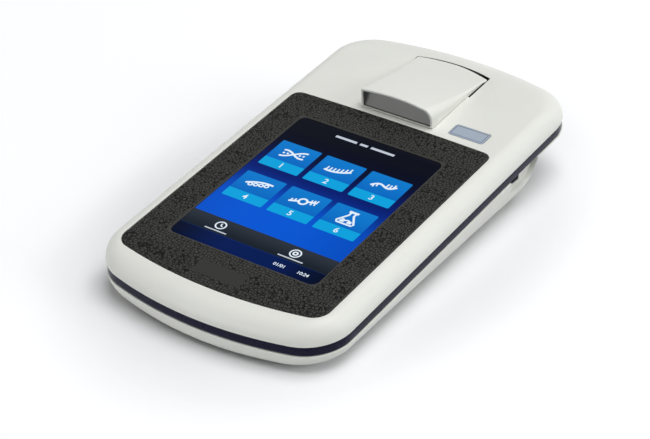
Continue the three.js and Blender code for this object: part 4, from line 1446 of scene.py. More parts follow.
    def knuckles(self, deck: Deck) -> bpy.types.Object:
        """Makes the two knuckles: a half circle about the pin's line with straight sides up to the lid.

        Args:
            deck: The deck's frame.

        Returns:
            The object.
        """
        radius, width = self.knuckle, self.knuckle_width

        def loop(by: float) -> Array:
            angle = np.linspace(math.pi, 2 * math.pi, 33)
            low = (radius + by) * np.column_stack([np.cos(angle), np.sin(angle)])
            high = [[radius + by, radius], [-radius - by, radius]]
            return np.concatenate([low, high]) + [self.hinge_y, -self.hinge_drop]

        def hole(by: float) -> Array:
            return circle(1.35 + by, self.hinge_y, -self.hinge_drop, 40)

        made = []
        for side in (-1, 1):
            spot = Spot(side * self.knuckle_x - width / 2, 0.0, 0.0, Facing.RIGHT)
            outer = [*rounded_edge(loop, 0.0, -0.3)[::-1], *rounded_edge(loop, width, 0.3)]
            inner = [level(hole(0.0), 0.0), level(hole(0.0), width)]
            surface = Surface(lambda points, spot=spot: deck(spot(points))).strip(outer).strip(inner)
            surface.cap(outer[0], [inner[0]]).cap(outer[-1], [inner[-1]])
            made.append(surface.build(f"knuckle_{side}"))
        return merge("lid_knuckles", made)

    def liner(self, deck: Deck, gap: float) -> bpy.types.Object:
        """Makes the dark liner with its round hole.

        Args:
            deck: The deck's frame.
            gap: The gap between pieces.

        Returns:
            The object.
        """
        start = self.front + self.finger_depth + self.wall + gap
        middle = start + self.liner_length / 2
        half = self.half - self.wall - gap
        low, high = self.liner_lift, self.liner_lift + self.liner_thickness

        def plate(by: float) -> Array:
            return rounded_rectangle(2 * (half + by), self.liner_length + 2 * by, 1.0 + by, 0.0, middle)

        def hole(by: float) -> Array:
            return circle(self.liner_hole + by, 0.0, Well.y)

        outer = [*rounded_edge(plate, low, -0.25)[::-1], level(plate(0.0), high)]
        inner = [*rounded_edge(hole, low, -0.25, side=1)[::-1], level(hole(0.0), high)]
        surface = Surface(deck).strip(outer).strip(inner)
        surface.cap(outer[0], [inner[0]]).cap(outer[-1], [inner[-1]])
        return surface.build("lid_inner_liner")

    def seal(self, deck: Deck, gap: float) -> bpy.types.Object:
        """Turns the soft ring that closes the light out, with a rounded lower edge.

        Args:
            deck: The deck's frame.
            gap: The gap between pieces.

        Returns:
            The object.
        """
        low, high = self.seal_lift, self.liner_lift - gap
        radius = (self.seal_outer - self.seal_inner) / 2
        bead = arc_points((self.seal_inner + radius, low + radius), radius, 180.0, 360.0, 12)
        profile = [(self.seal_inner, high), *bead, (self.seal_outer, high)]
        spot = Spot(0.0, Well.y, 0.0)
        return lathe("lid_light_seal", profile, lambda points: deck(spot(points)))


@dataclass(frozen=True)
class UpperShell:
    """The pale upper shell with its tray, bay, port and badge seat."""

    case: Case
    panel: Panel
    lid: Lid
    well: Well
    badge: Badge
    glass: tuple[float, float] = (96.6, 125.4)
    display: tuple[float, float] = (102.6, 131.6)
    tray_rim: float = 2.0
    tray_depth: float = 4.2
    display_level: float = 2.6

    def skin(self, surface: Surface) -> tuple[Array, Array]:
        """Lays the shell's outer and inner skins, each a quarter ellipse from the stripe to the deck.

        At the angle a the outline is 1 - cos a of the way to the deck's, and its height is the drop
        times sin a.

        Args:
            surface: The surface that takes the rings.

        Returns:
            The ring at the deck and the ring at its underside.
        """
        case = self.case
        drop, low = case.stripe_drop, case.gap - case.stripe_drop
        inner_top = replace(case.top, rear_bow=case.top.rear_bow - case.wall)
        bevel = rounded_edge(lambda by: case.rim.grown(by).points(), low, -case.bevel)[::-1]
        angles = np.linspace(math.asin(1.3 * case.bevel / drop), math.pi / 2, 26)
        outer = [
            level(
                case.rim.towards(case.top, 1 - math.cos(a)).points(),
                drop * (math.sin(a) - 1) + case.gap * (1 - math.sin(a)),
            )
            for a in angles
        ]
        start = case.rim.grown(-case.wall)
        inner = [
            level(start.towards(inner_top, 1 - math.cos(a)).points(), (drop - case.wall) * math.sin(a) - drop)
            for a in np.linspace(0.06, math.pi / 2, 20)
        ]
        surface.strip([*inner[::-1], level(start.points(), low), *bevel, *outer])
        return outer[-1], inner[-1]

    def mouth(self, name: str, loop: Loop, low: float, flare: float, deck: Deck) -> bpy.types.Object:
        """Makes the solid that cuts an opening in the deck, with a flare that rounds the opening's edge."""
        rings = [level(loop(flare), 2.0), *rounded_edge(loop, 0.0, flare, side=1)[::-1], level(loop(0.0), low)]
        return Surface(deck).strip(rings).cap(rings[0]).cap(rings[-1]).build(name)

    def build(self, deck: Deck) -> bpy.types.Object:
        """Makes the shell: two skins with the tray, the boss and the bay's box joined on, less its openings.

        Args:
            deck: The deck's frame.

        Returns:
            The object.
        """
        case, panel, well = self.case, self.panel, self.well
        surface = Surface(deck)
        deck_ring, under_ring = self.skin(surface)
        body = surface.cap(deck_ring).cap(under_ring).build("upper_shell")
        half_wall = -case.wall / 2
        floor = -panel.thickness - case.gap
        glass = rounded_rectangle(*self.glass, panel.window_corner)
        display = rounded_rectangle(*self.display, 0.8)
        tray = panel.outline.grown(self.tray_rim).points()
        # The joins and cuts keep this order: in another one the solver can leave the port closed
        joined = [
            self.bay_box(deck),
            solid("boss", lambda _: circle(well.boss, 0.0, well.y), -well.boss_depth, half_wall, deck),
            solid("tray", lambda _: tray, -self.tray_depth, half_wall, deck),
        ]
        seat = well.flange + case.gap
        hole = well.tube + well.sleeve + case.gap + 0.4
        cuts = [
            self.mouth("port", disc(seat, 0.0, well.y), -well.flange_thickness - 2 * case.gap, 0.3, deck),
            solid("port_hole", disc(hole, 0.0, well.y), -well.boss_depth - 1.0, -well.flange_thickness, deck),
            self.mouth("seat", lambda by: self.badge.loop(case.gap + by), -self.badge.seat - case.gap, 0.15, deck),
            self.bay(deck),
            self.mouth("recess", lambda by: panel.outline.grown(case.gap + by).points(), floor, 0.2, deck),
            solid("glass_room", lambda _: glass, -self.display_level, floor + 0.2, deck),
            solid("display_room", lambda _: display, -self.tray_depth - 1.0, -self.display_level, deck),
        ]
        return carve(body, cuts, 38.0, joined)

    def bay(self, deck: Deck) -> bpy.types.Object:
        """Makes the room that the lid's rear swings in, with a flared mouth and an undercut rear wall.

        Args:
            deck: The deck's frame.

        Returns:
            The object.
        """
        lid = self.lid
        mouth = rounded_edge(lid.plan, 0.0, 0.3, side=1)[::-1]
        swung = lid.plan(0.0, lid.bay_swing)
        rings = [level(lid.plan(0.3), 2.0), *mouth, level(lid.plan(0.0), -lid.bay_lip)]
        rings += [level(swung, -lid.bay_lip), level(swung, lid.bay_floor)]
        return Surface(deck).strip(rings).cap(rings[0]).cap(rings[-1]).build("bay")

    def bay_box(self, deck: Deck) -> bpy.types.Object:
        """Makes the box that holds the bay under the deck, before the bay is cut out of it.

        Args:
            deck: The deck's frame.

        Returns:
            The object.
        """
        lid = self.lid
        box = lid.plan(lid.bay_wall, lid.bay_swing + lid.bay_wall)
        return solid("bay_box", lambda _: box, lid.bay_floor - lid.bay_wall, -self.case.wall / 2 - 0.1, deck)


@dataclass(frozen=True)
class Ports:
    """The sockets: one at the right side, and two in the recess at the rear."""

    side_mouth: float = 66.0
    side_y: float = 56.72
    side_z: float = 20.83
    side_width: float = 13.1
    side_height: float = 5.7
    side_length: float = 14.0
    panel_y: float = 103.92
    panel_half_width: float = 28.0
    panel_low: float = 9.6
    panel_high: float = 23.0
    inlet_x: float = -12.0
    inlet_z: float = 16.4
    inlet_nose: float = 4.4
    inlet_bore: float = 3.1
    small_x: float = 11.0
    small_z: float = 12.9
    small_width: float = 7.7
    small_height: float = 4.0
    proud: float = 0.3

    def can(self, name: str, spot: Spot, size: tuple[float, float, float], corner: float, metal: float) -> bpy.types.Object:
        """Makes a socket's sheet metal can: outer walls, a rounded rim, inner walls and a closed back.

        Args:
            name: The object's name.
            spot: The middle of its mouth and the way that it faces.
            size: Its width, height and length.
            corner: The radius of its corners.
            metal: The thickness of its sheet.

        Returns:
            The object.
        """
        width, height, length = size
        loop = rectangle(width, height, corner)
        outer = [level(loop(0.0), -length), *rounded_edge(loop, 0.0, metal / 2)]
        inner = rounded_edge(lambda by: loop(by - metal), 0.0, metal / 2, side=1)[::-1]
        back = level(loop(-metal), metal - length)
        surface = Surface(spot).strip([*outer, *inner, back]).cap(outer[0]).cap(back)
        return surface.build(name)

    def side(self) -> list[bpy.types.Object]:
        """Makes the side socket's can, tongue and four contacts.

        Returns:
            The objects.
        """
        spot = Spot(self.side_mouth, self.side_y, self.side_z, Facing.RIGHT)
        size = (self.side_width, self.side_height, self.side_length)
        can = self.can("side_socket_can", spot, size, 0.7, 0.5)

        def tongue(by: float) -> Array:
            return rounded_rectangle(self.side_width - 3.6 + 2 * by, 1.9 + 2 * by, 0.3 + by, 0.0, 1.5)

        plastic = solid("side_socket_tongue", tongue, 0.4 - self.side_length, -1.8, spot, 0.25)
        contacts = [
            solid(
                f"contact_{i}",
                lambda by, u=u: rounded_rectangle(1.0 + 2 * by, 0.2 + 2 * by, 0.08 + by, u, 0.48),
                -11.0,
                -2.6,
                spot,
                0.05,
            )
            for i, u in enumerate((-3.5, -1.0, 1.0, 3.5))
        ]
        return [can, plastic, merge("side_socket_contacts", contacts)]

    def inlet(self) -> list[bpy.types.Object]:
        """Makes the power inlet: a turned nose with a bore on a block, and a pin with a domed tip.

        Returns:
            The objects.
        """
        spot = Spot(self.inlet_x, self.panel_y + self.proud, self.inlet_z, Facing.REAR)
        nose, bore = self.inlet_nose, self.inlet_bore
        rim = arc_points((nose - 0.35, -0.35), 0.35, 0.0, 90.0)
        mouth = arc_points((bore + 0.3, -0.3), 0.3, 90.0, 180.0)
        barrel = lathe("barrel", [(0.0, -10.0), (nose, -10.0), *rim, *mouth, (bore, -9.0), (0.0, -9.0)], spot)

        def body(by: float) -> Array:
            return rounded_rectangle(9.0 + 2 * by, 11.0 + 2 * by, 0.6 + by)

        block = solid("block", body, -17.0, -3.0, spot, 0.3, 0.3)
        pin = lathe("inlet_pin", [(0.0, -9.4), (1.0, -9.4), (1.0, -3.2), *arc_points((0.0, -3.2), 1.0, 0, 90)], spot)
        return [merge("power_inlet", [barrel, block]), pin]

    def small(self) -> list[bpy.types.Object]:
        """Makes the small rear socket's can and tongue.

        Returns:
            The objects.
        """
        spot = Spot(self.small_x, self.panel_y + self.proud, self.small_z, Facing.REAR)
        can = self.can("rear_socket_can", spot, (self.small_width, self.small_height, 9.2), 1.1, 0.4)

        def tongue(by: float) -> Array:
            return rounded_rectangle(4.6 + 2 * by, 1.1 + 2 * by, 0.2 + by, 0.0, 0.3)

        return [can, solid("rear_socket_tongue", tongue, -8.9, -1.2, spot, 0.15)]

    def openings(self, gap: float) -> list[bpy.types.Object]:
        """Makes the solids that the lower shell loses for the sockets.

        Args:
            gap: The gap between pieces.

        Returns:
            The objects.
        """
        side = Spot(self.side_mouth, self.side_y, self.side_z, Facing.RIGHT)
        rear = Spot(0.0, self.panel_y, (self.panel_low + self.panel_high) / 2, Facing.REAR)
        inlet = Spot(self.inlet_x, self.panel_y, self.inlet_z, Facing.REAR)
        small = Spot(self.small_x, self.panel_y, self.small_z, Facing.REAR)
        width, height = 2 * self.panel_half_width, self.panel_high - self.panel_low
        return [
            solid("cut_side", lambda by: rounded_rectangle(self.side_width + 2 * gap, self.side_height + 2 * gap, 1.0),
                  -self.side_length - gap, 5.0, side),
            solid("cut_rear", lambda by: rounded_rectangle(width, height, 1.6), 0.0, 60.0, rear),
            solid("cut_inlet", lambda by: circle(self.inlet_nose + gap), -4.4, 2.0, inlet),
            solid("cut_small", lambda by: rounded_rectangle(self.small_width + 2 * gap, self.small_height + 2 * gap, 1.4),
                  -4.4, 2.0, small),
        ]


@dataclass(frozen=True)
class LowerShell:
    """The pale lower shell: a hull that narrows to a tail, with a recess for the side socket."""

    case: Case
    ports: Ports
    base_height: float = 1.6
    side_inset: float = 14.4
    front_inset: float = 3.0
    rear_inset: float = 30.0
    tail_inset: float = 26.4
    taper_from: float = 71.92
    taper_to: float = 86.92
    recess_front: float = 79.3
    recess_rear: float = 106.5
    recess_drop: float = 24.8
    recess_depth: float = 3.7
    recess_wall: float = 1.8
    recess_front_round: float = 2.5
    recess_rear_round: float = 9.0
    foot_radius: float = 6.0
    foot_seat: float = 0.9
    feet: tuple[tuple[float, float], ...] = ((-34.0, -74.0), (-34.0, 57.92), (34.0, -74.0), (34.0, 57.92))
    screws: tuple[tuple[float, float], ...] = ((-57.3, -88.0), (-57.3, 79.92), (57.3, -88.0), (57.3, 79.92))

    def hull(self, deck: Deck, inset: float, floor: float, below: float) -> list[Array]:
        """Rings of the hull from its floor up to a depth below the seam, in the part's frame.

        Each point starts at the seam, which lies in a plane along the deck, and goes in and down to the floor. At the
        angle a it is sin a of the way down, and 1 - cos a of the way in, or sin a of it on the tail. The way in
        scales x and y towards the middle of the base.

        Args:
            deck: The deck's frame.
            inset: How far the seam's outline is drawn in.
            floor: The height of the flat floor.
            below: How far below the seam the highest ring lies.

        Returns:
            The rings, the lowest first.
        """
        front, rear = self.case.reaches
        half_length = (front + rear) / 2
        edge = deck(level(self.case.rim.grown(-inset).points(side_steps=130), -self.case.seam))
        x, y, z = edge.T
        taper = smooth_share(y, self.taper_from, self.taper_to)
        side = -(self.side_inset + (self.tail_inset - self.side_inset) * taper) / self.case.rim.half
        along = np.where(y > 0, -self.rear_inset, -self.front_inset) / half_length
        start = np.arcsin(below / (z - floor))
        rings = []
        for t in np.linspace(1.0, 0.0, 25):
            angle = start + (math.pi / 2 - start) * t
            share = (1 - taper) * (1 - np.cos(angle)) + taper * np.sin(angle)
            rings.append(np.column_stack([x * (1 + side * share), y * (1 + along * share),
                                          z + (floor - z) * np.sin(angle)]))
        return rings

    def rim_ring(self, deck: Deck, inset: float, depth: float) -> Array:
        """A ring along the case's outline, in the part's frame."""
        return deck(level(self.case.rim.grown(-inset).points(side_steps=130), -depth))

    def recess(self, deck: Deck, name: str, grow: float) -> bpy.types.Object:
        """Makes the side recess as a solid: open at the seam, with a round lower corner at each end.

        Args:
            deck: The deck's frame.
            name: The object's name.
            grow: How far it is grown.

        Returns:
            The object.
        """
        front, rear, low = self.recess_front - grow, self.recess_rear + grow, -self.recess_drop - grow
        angle = np.linspace(0.0, math.pi / 2, 17)
        near, far = self.recess_front_round + grow, self.recess_rear_round + grow
        top = 2.0 - self.case.seam

        def loop(_: float) -> Array:
            first = np.column_stack([front + near * (1 - np.cos(angle)), low + near * (1 - np.sin(angle))])
            last = np.column_stack([rear - far * (1 - np.sin(angle)), low + far * (1 - np.cos(angle))])
            return np.concatenate([first, last, [[rear, top], [front, top]]])

        spot = Spot(facing=Facing.RIGHT)
        half = self.case.rim.half
        return solid(name, loop, half - self.recess_depth - grow, half + 3.0, lambda p: deck(spot(p)))

    def seat_level(self, deck: Deck, y: float) -> float:
        """The height of a case screw's seat."""
        plane = self.case.screen_height - self.case.seam / math.cos(deck.tilt) + (y - deck.middle_y) * math.tan(deck.tilt)
        return plane - 2 * self.case.shelf

    def build(self, deck: Deck) -> bpy.types.Object:
        """Makes the shell: the hull with a lip on its rim, less its inside, its recesses, seats and wells.

        Args:
            deck: The deck's frame.

        Returns:
            The object.
        """
        case, ports = self.case, self.ports
        floor = self.base_height + case.wall
        lip, neck = case.stripe_thickness + case.gap, case.stripe_thickness + case.gap + case.lip_thickness
        lip_top, shelf = case.stripe_drop - case.lip_rise, case.seam + case.shelf
        hull = self.hull(deck, 0.0, self.base_height, case.bevel)
        bends = np.linspace(0.0, math.pi / 2, 6)
        rim = [
            self.rim_ring(deck, case.bevel * (1 - math.cos(a)), case.seam + case.bevel * (1 - math.sin(a))) for a in bends
        ]
        rim += [self.rim_ring(deck, lip, case.seam), self.rim_ring(deck, lip, lip_top)]
        body = Surface().strip([*hull, *rim]).cap(hull[0]).cap(rim[-1]).build("lower_shell")
        inside_rings = self.hull(deck, case.wall, floor, case.shelf)
        inside_rings += [self.rim_ring(deck, neck, shelf), self.rim_ring(deck, neck, lip_top - 2.0)]
        room = Surface().strip(inside_rings).cap(inside_rings[0]).cap(inside_rings[-1]).build("room")
        width = 2 * (ports.panel_half_width + case.wall)
        middle = (self.base_height + ports.panel_high + case.wall) / 2
        block = Spot(0.0, ports.panel_y - case.wall, middle, Facing.REAR)
        tall = ports.panel_high + case.wall - self.base_height
        wall = solid("wall", lambda by: rounded_rectangle(width, tall, 1.0), 0.0, 60.0, block)
        carve(room, [wall, self.recess(deck, "pan", self.recess_wall)])
        cuts = [room, self.recess(deck, "recess", 0.0), *ports.openings(case.gap)]
        for i, (x, y) in enumerate(self.feet):
            cuts.append(solid(f"foot_seat_{i}", lambda by: circle(self.foot_radius + case.gap + by), -2.0,
                              self.base_height + self.foot_seat, Spot(x, y, 0.0)))
        for i, (x, y) in enumerate(self.screws):
            cuts.append(solid(f"screw_well_{i}", lambda by: circle(3.1 + by, steps=40), -2.0,
                              self.seat_level(deck, y), Spot(x, y, 0.0)))
        return carve(body, cuts, 30.0)

    def rubber_feet(self) -> list[bpy.types.Object]:
        """Turns the four feet, with a rounded lower edge and a shallow dish.

        Returns:
            The objects.
        """
        radius, top = self.foot_radius, self.base_height + self.foot_seat - self.case.gap
        edge = arc_points((radius - 0.7, 0.7), 0.7, 270.0, 360.0)
        profile = [(0.0, 0.35), (radius - 2.4, 0.35), (radius - 2.0, 0.0), *edge, (radius, top), (0.0, top)]
        return [lathe(f"foot_{i + 1}", profile, Spot(x, y, 0.0)) for i, (x, y) in enumerate(self.feet)]

    def case_screws(self, deck: Deck) -> list[bpy.types.Object]:
        """Makes the four case screws: a six-sided socket, a head with a rounded rim, and a ridged shaft.

        Args:
            deck: The deck's frame.

        Returns:
            The objects.
        """
        made = []
        angle = np.linspace(0.0, 2 * math.pi, 72, endpoint=False)
        six = 1.25 * math.cos(math.pi / 6) / np.cos((angle + math.pi / 6) % (math.pi / 3) - math.pi / 6)
        hexagon = np.column_stack([six * np.cos(angle), six * np.sin(angle)])
        head = [level(circle(r, steps=72), z) for r, z in [*arc_points((2.3, -1.7), 0.5, 270.0, 360.0), (2.8, 0.0)]]
        shaft = [(1.5, 0.0)]
        for k in range(12):
            shaft += [(1.5, 0.35 + 0.5 * k), (1.2, 0.6 + 0.5 * k)]
        shaft += [(1.2, 6.7), (0.9, 7.0)]
        for i, (x, y) in enumerate(self.screws):
            rings = [level(hexagon, -0.9), level(hexagon, -2.2), *head, *(level(circle(r, steps=72), z) for r, z in shaft)]
            spot = Spot(x, y, self.seat_level(deck, y) - self.case.gap)
            made.append(Surface(spot).strip(rings).cap(rings[0]).cap(rings[-1]).build(f"case_bolt_{i + 1}"))
        return made


@dataclass(frozen=True)
class Stripe:
    """The navy stripe between the shells."""

    case: Case
    setback: float = 0.35

    def build(self, deck: Deck) -> bpy.types.Object:
        """Carries the stripe's section round the case's outline: a band with two rounded outer edges.

        Args:
            deck: The deck's frame.

        Returns:
            The object.
        """
        case = self.case
        top, low = -case.stripe_drop, -case.stripe_drop - case.stripe_height
        face = case.rim.grown(-self.setback)
        lower = rounded_edge(lambda by: face.grown(by).points(), low, -case.bevel)[::-1]
        upper = rounded_edge(lambda by: face.grown(by).points(), top, case.bevel)
        inner = case.rim.grown(-case.stripe_thickness).points()
        rings = [level(inner, low), *lower, *upper, level(inner, top), level(inner, low)]
        return Surface(deck).strip(rings).build("case_stripe")


@dataclass(frozen=True)
class Screen:
    """The touch glass and what it shows: six tiles, a bar with two buttons, and plain marks."""

    case: Case
    panel: Panel
    plate: tuple[float, float] = (96.0, 124.8)
    plate_top: float = -1.5
    plate_thickness: float = 1.1
    face: float = -0.4
    slack: float = 0.15
    pitch_x: float = 27.2
    pitch_y: float = 31.1
    row_y: float = 7.65
    tile_width: float = 23.9
    tile_length: float = 23.2
    strip_top: float = 7.1
    band_low: float = 43.8
    bar_high: float = -36.0
    bar_low: float = -47.7

    def glass(self, deck: Deck) -> bpy.types.Object:
        """Makes the touch glass: a plate under the panel, and a pane that fills the window.

        Args:
            deck: The deck's frame.

        Returns:
            The object.
        """

        def pane(by: float) -> Array:
            return self.panel.window(by - self.slack)

        plate = rounded_rectangle(*self.plate, self.panel.window_corner)
        low = self.plate_top - self.plate_thickness
        rings = [level(plate, low), level(plate, self.plate_top), level(pane(0.0), self.plate_top)]
        rings += rounded_edge(pane, self.face, 0.15)
        return Surface(deck).strip(rings).cap(rings[0]).cap(rings[-1]).build("touch_pane")

    def stroke(self, points: Array, width: float, closed: bool = False) -> Surface:
        """Lays a thin raised line along points: each point is moved half a width to both sides of its way.

        Args:
            points: Points in x and y.
            width: The line's width.
            closed: Whether it ends where it starts.

        Returns:
            The surface, in the deck's frame.
        """
        if closed:
            ahead, behind = np.roll(points, -1, axis=0), np.roll(points, 1, axis=0)
        else:
            ahead = np.concatenate([points[1:], points[-1:]])
            behind = np.concatenate([points[:1], points[:-1]])
        way = ahead - behind
        way = way / np.linalg.norm(way, axis=1, keepdims=True)
        aside = np.column_stack([-way[:, 1], way[:, 0]]) * width / 2
        low, high = self.face - 0.02, self.face + 0.03
        left, right = points + aside, points - aside
        rows = np.stack([level(left, low), level(left, high), level(right, high), level(right, low)], axis=1)
        if closed:
            return Surface().strip(np.concatenate([rows, rows[:1]]))
        surface = Surface().strip(rows)
        surface.faces += surface.add(rows[[0, -1]]).tolist()
        return surface

    def marks(self) -> list[Surface]:
        """Draws the marks on the tiles, the bar and the bands.

        Returns:
            Their surfaces.
        """
        t = np.linspace(-1.0, 1.0, 41)
        turn = np.linspace(0.0, 2 * math.pi, 49)[:-1]
        ring = np.column_stack([np.cos(turn), np.sin(turn)])
        columns = [-self.pitch_x, 0.0, self.pitch_x]
        high, low = self.row_y + self.pitch_y / 2 + 3.2, self.row_y - self.pitch_y / 2 + 3.2
        drawn: list[Surface] = []

        def line(x: float, y: float, points: Sequence[tuple[float, float]] | Array, width: float = 0.85,
                 closed: bool = False) -> None:
            """Draws a line about x and y."""
            drawn.append(self.stroke(np.asarray(points, float) + [x, y], width, closed))

        x, y = columns[0], high
        for sign in (-1, 1):
            line(x, y, np.column_stack([6.6 * t, sign * 2.7 * np.sin(1.9 * t) + 1.2 * t]), 1.2)
        for u in (-0.82, -0.5, 0.5, 0.82):
            line(x, y, [(6.6 * u, 1.2 * u - 0.6), (6.6 * u, 1.2 * u + 0.6)], 1.1)

        def toothed(along: Array, rise: Array, *rows: tuple[Sequence[float], float]) -> None:
            """Draws a line with rows of teeth: each row gives the places of its teeth and their height."""
            line(x, y, np.column_stack([along, rise]), 1.25)
            for teeth, tall in rows:
                for foot, base in zip(teeth, np.interp(teeth, along, rise)):
                    line(x, y, [(foot, base), (foot + 0.3, base + tall)], 0.8)

        x = columns[1]
        toothed(7.0 * t, 1.6 * t**2 + 1.9 * t - 2.0, ((-6.0, -4.0, -2.0, 0.0, 2.0, 4.0, 6.0), 3.2))
        x = columns[2]
        curve = 1.9 * np.sin(math.pi * t * 0.95 + math.pi) + 2.4 * t
        toothed(6.6 * t, curve, ((1.4, 3.2, 5.0), 3.3), ((-5.2, -3.6), -2.4))
        x, y = columns[0], low
        line(x, y, np.column_stack([7.2 * t, 1.9 * t - 1.5 * t**2 + 2.6]), 1.2)
        for u in (-4.2, -1.4, 1.4, 4.2):
            line(x, y, ring * 1.05 + [u, 0.26 * u + 0.2], 0.8, True)
        x = columns[1]
        line(x, y, ring * 2.2, 1.15, True)
        toothed(np.array([-7.0, -2.3]), np.array([-2.6, -0.8]), ((-6.2, -4.4), 2.2))
        toothed(np.array([2.3, 7.0]), np.array([0.9, 2.2]), ((3.6, 5.2, 6.6), 2.0), ((4.4, 6.2), -2.2))
        x, y = columns[2], low - 0.4
        flask = [(-1.4, 5.0), (-1.4, 2.6), (-5.0, -3.4), (-4.3, -4.6), (4.3, -4.6), (5.0, -3.4), (1.4, 2.6), (1.4, 5.0)]
        line(x, y, flask, 1.1)
        line(x, y, [(-2.7, 5.3), (2.7, 5.3)], 1.5)
        line(x, y, np.column_stack([2.8 * t, 0.35 * np.sin(2 * math.pi * t) - 1.7]), 0.9)
        line(x, y, [(-3.3, -2.9), (-0.9, -2.9)], 1.6)
        line(x, y, [(0.9, -2.9), (3.3, -2.9)], 1.6)
        left, right, bar = -23.2, 21.0, (self.bar_high + self.bar_low) / 2 + 0.6
        line(left, bar, ring * 2.7, 0.75, True)
        line(left, bar, [(0.0, 1.5), (0.0, 0.0), (1.2, -0.7)], 0.7)
        line(right, bar, ring * 2.8, 0.75, True)
        line(right, bar, ring * 1.1, 0.9, True)
        return drawn

    def dashes(self) -> list[Surface]:
        """Draws the short plain bars that stand where a screen has words.

        Returns:
            Their surfaces.
        """
        top = (self.band_low + self.panel.window_length / 2) / 2 + 0.6
        low = self.bar_low + 1.9
        places = [(-18.0, -5.2, top), (-3.2, 1.4, top), (3.4, 17.4, top)]
        places += [(-29.6, -16.8, low), (13.8, 28.2, low)]
        return [self.stroke(np.array([(a, y), (b, y)]), 1.7 if y > 0 else 0.8) for a, b, y in places]

    def numbers(self, deck: Deck) -> bpy.types.Object:
        """Sets plain numbers on the tiles' strips and at the lower right.

        Args:
            deck: The deck's frame.

        Returns:
            The object.
        """
        made = []
        strips = self.strip_top / 2 - self.tile_length / 2
        for i in range(6):
            x = (i % 3 - 1) * self.pitch_x
            y = self.row_y + (0.5 - i // 3) * self.pitch_y + strips
            made.append(self.figure(deck, str(i + 1), x, y, 5.4))
        foot = (self.bar_low - self.panel.window_length / 2) / 2
        made.append(self.figure(deck, "10:24", 33.0, foot, 3.0))
        made.append(self.figure(deck, "01/01", 19.5, foot, 3.0))
        return merge("screen_numbers", made)

    def figure(self, deck: Deck, text: str, x: float, y: float, size: float) -> bpy.types.Object:
        """Makes one number as a thin mesh on the glass.

        Args:
            deck: The deck's frame.
            text: The digits.
            x: The x of its middle.
            y: The y of its middle.
            size: The height of its line.

        Returns:
            The object.
        """
        curve = bpy.data.curves.new("figure", "FONT")
        curve.body = text
        curve.align_x, curve.align_y = "CENTER", "CENTER"
        curve.size, curve.extrude, curve.offset = size, 0.025, 0.05
        curve.resolution_u = 3
        holder = linked("figure", curve)
        mesh = bpy.data.meshes.new_from_object(holder.evaluated_get(bpy.context.evaluated_depsgraph_get()))
        bpy.data.objects.remove(holder)
        points = np.zeros(len(mesh.vertices) * 3)
        mesh.vertices.foreach_get("co", points)
        placed = deck(points.reshape(-1, 3) + [x, y, self.face + 0.005]) * MM
        mesh.vertices.foreach_set("co", placed.ravel())
        made = linked("figure", mesh)
        clean(made)
        return made

    def drawn(self, deck: Deck, name: str, surfaces: Sequence[Surface]) -> bpy.types.Object:
        """Makes one object of several marks.

        Args:
            deck: The deck's frame.
            name: The object's name.
            surfaces: The marks, in the deck's frame.

        Returns:
            The object.
        """
        made = []
        for i, surface in enumerate(surfaces):
            surface.place = deck
            made.append(surface.build(f"{name}_{i}"))
        return merge(name, made)


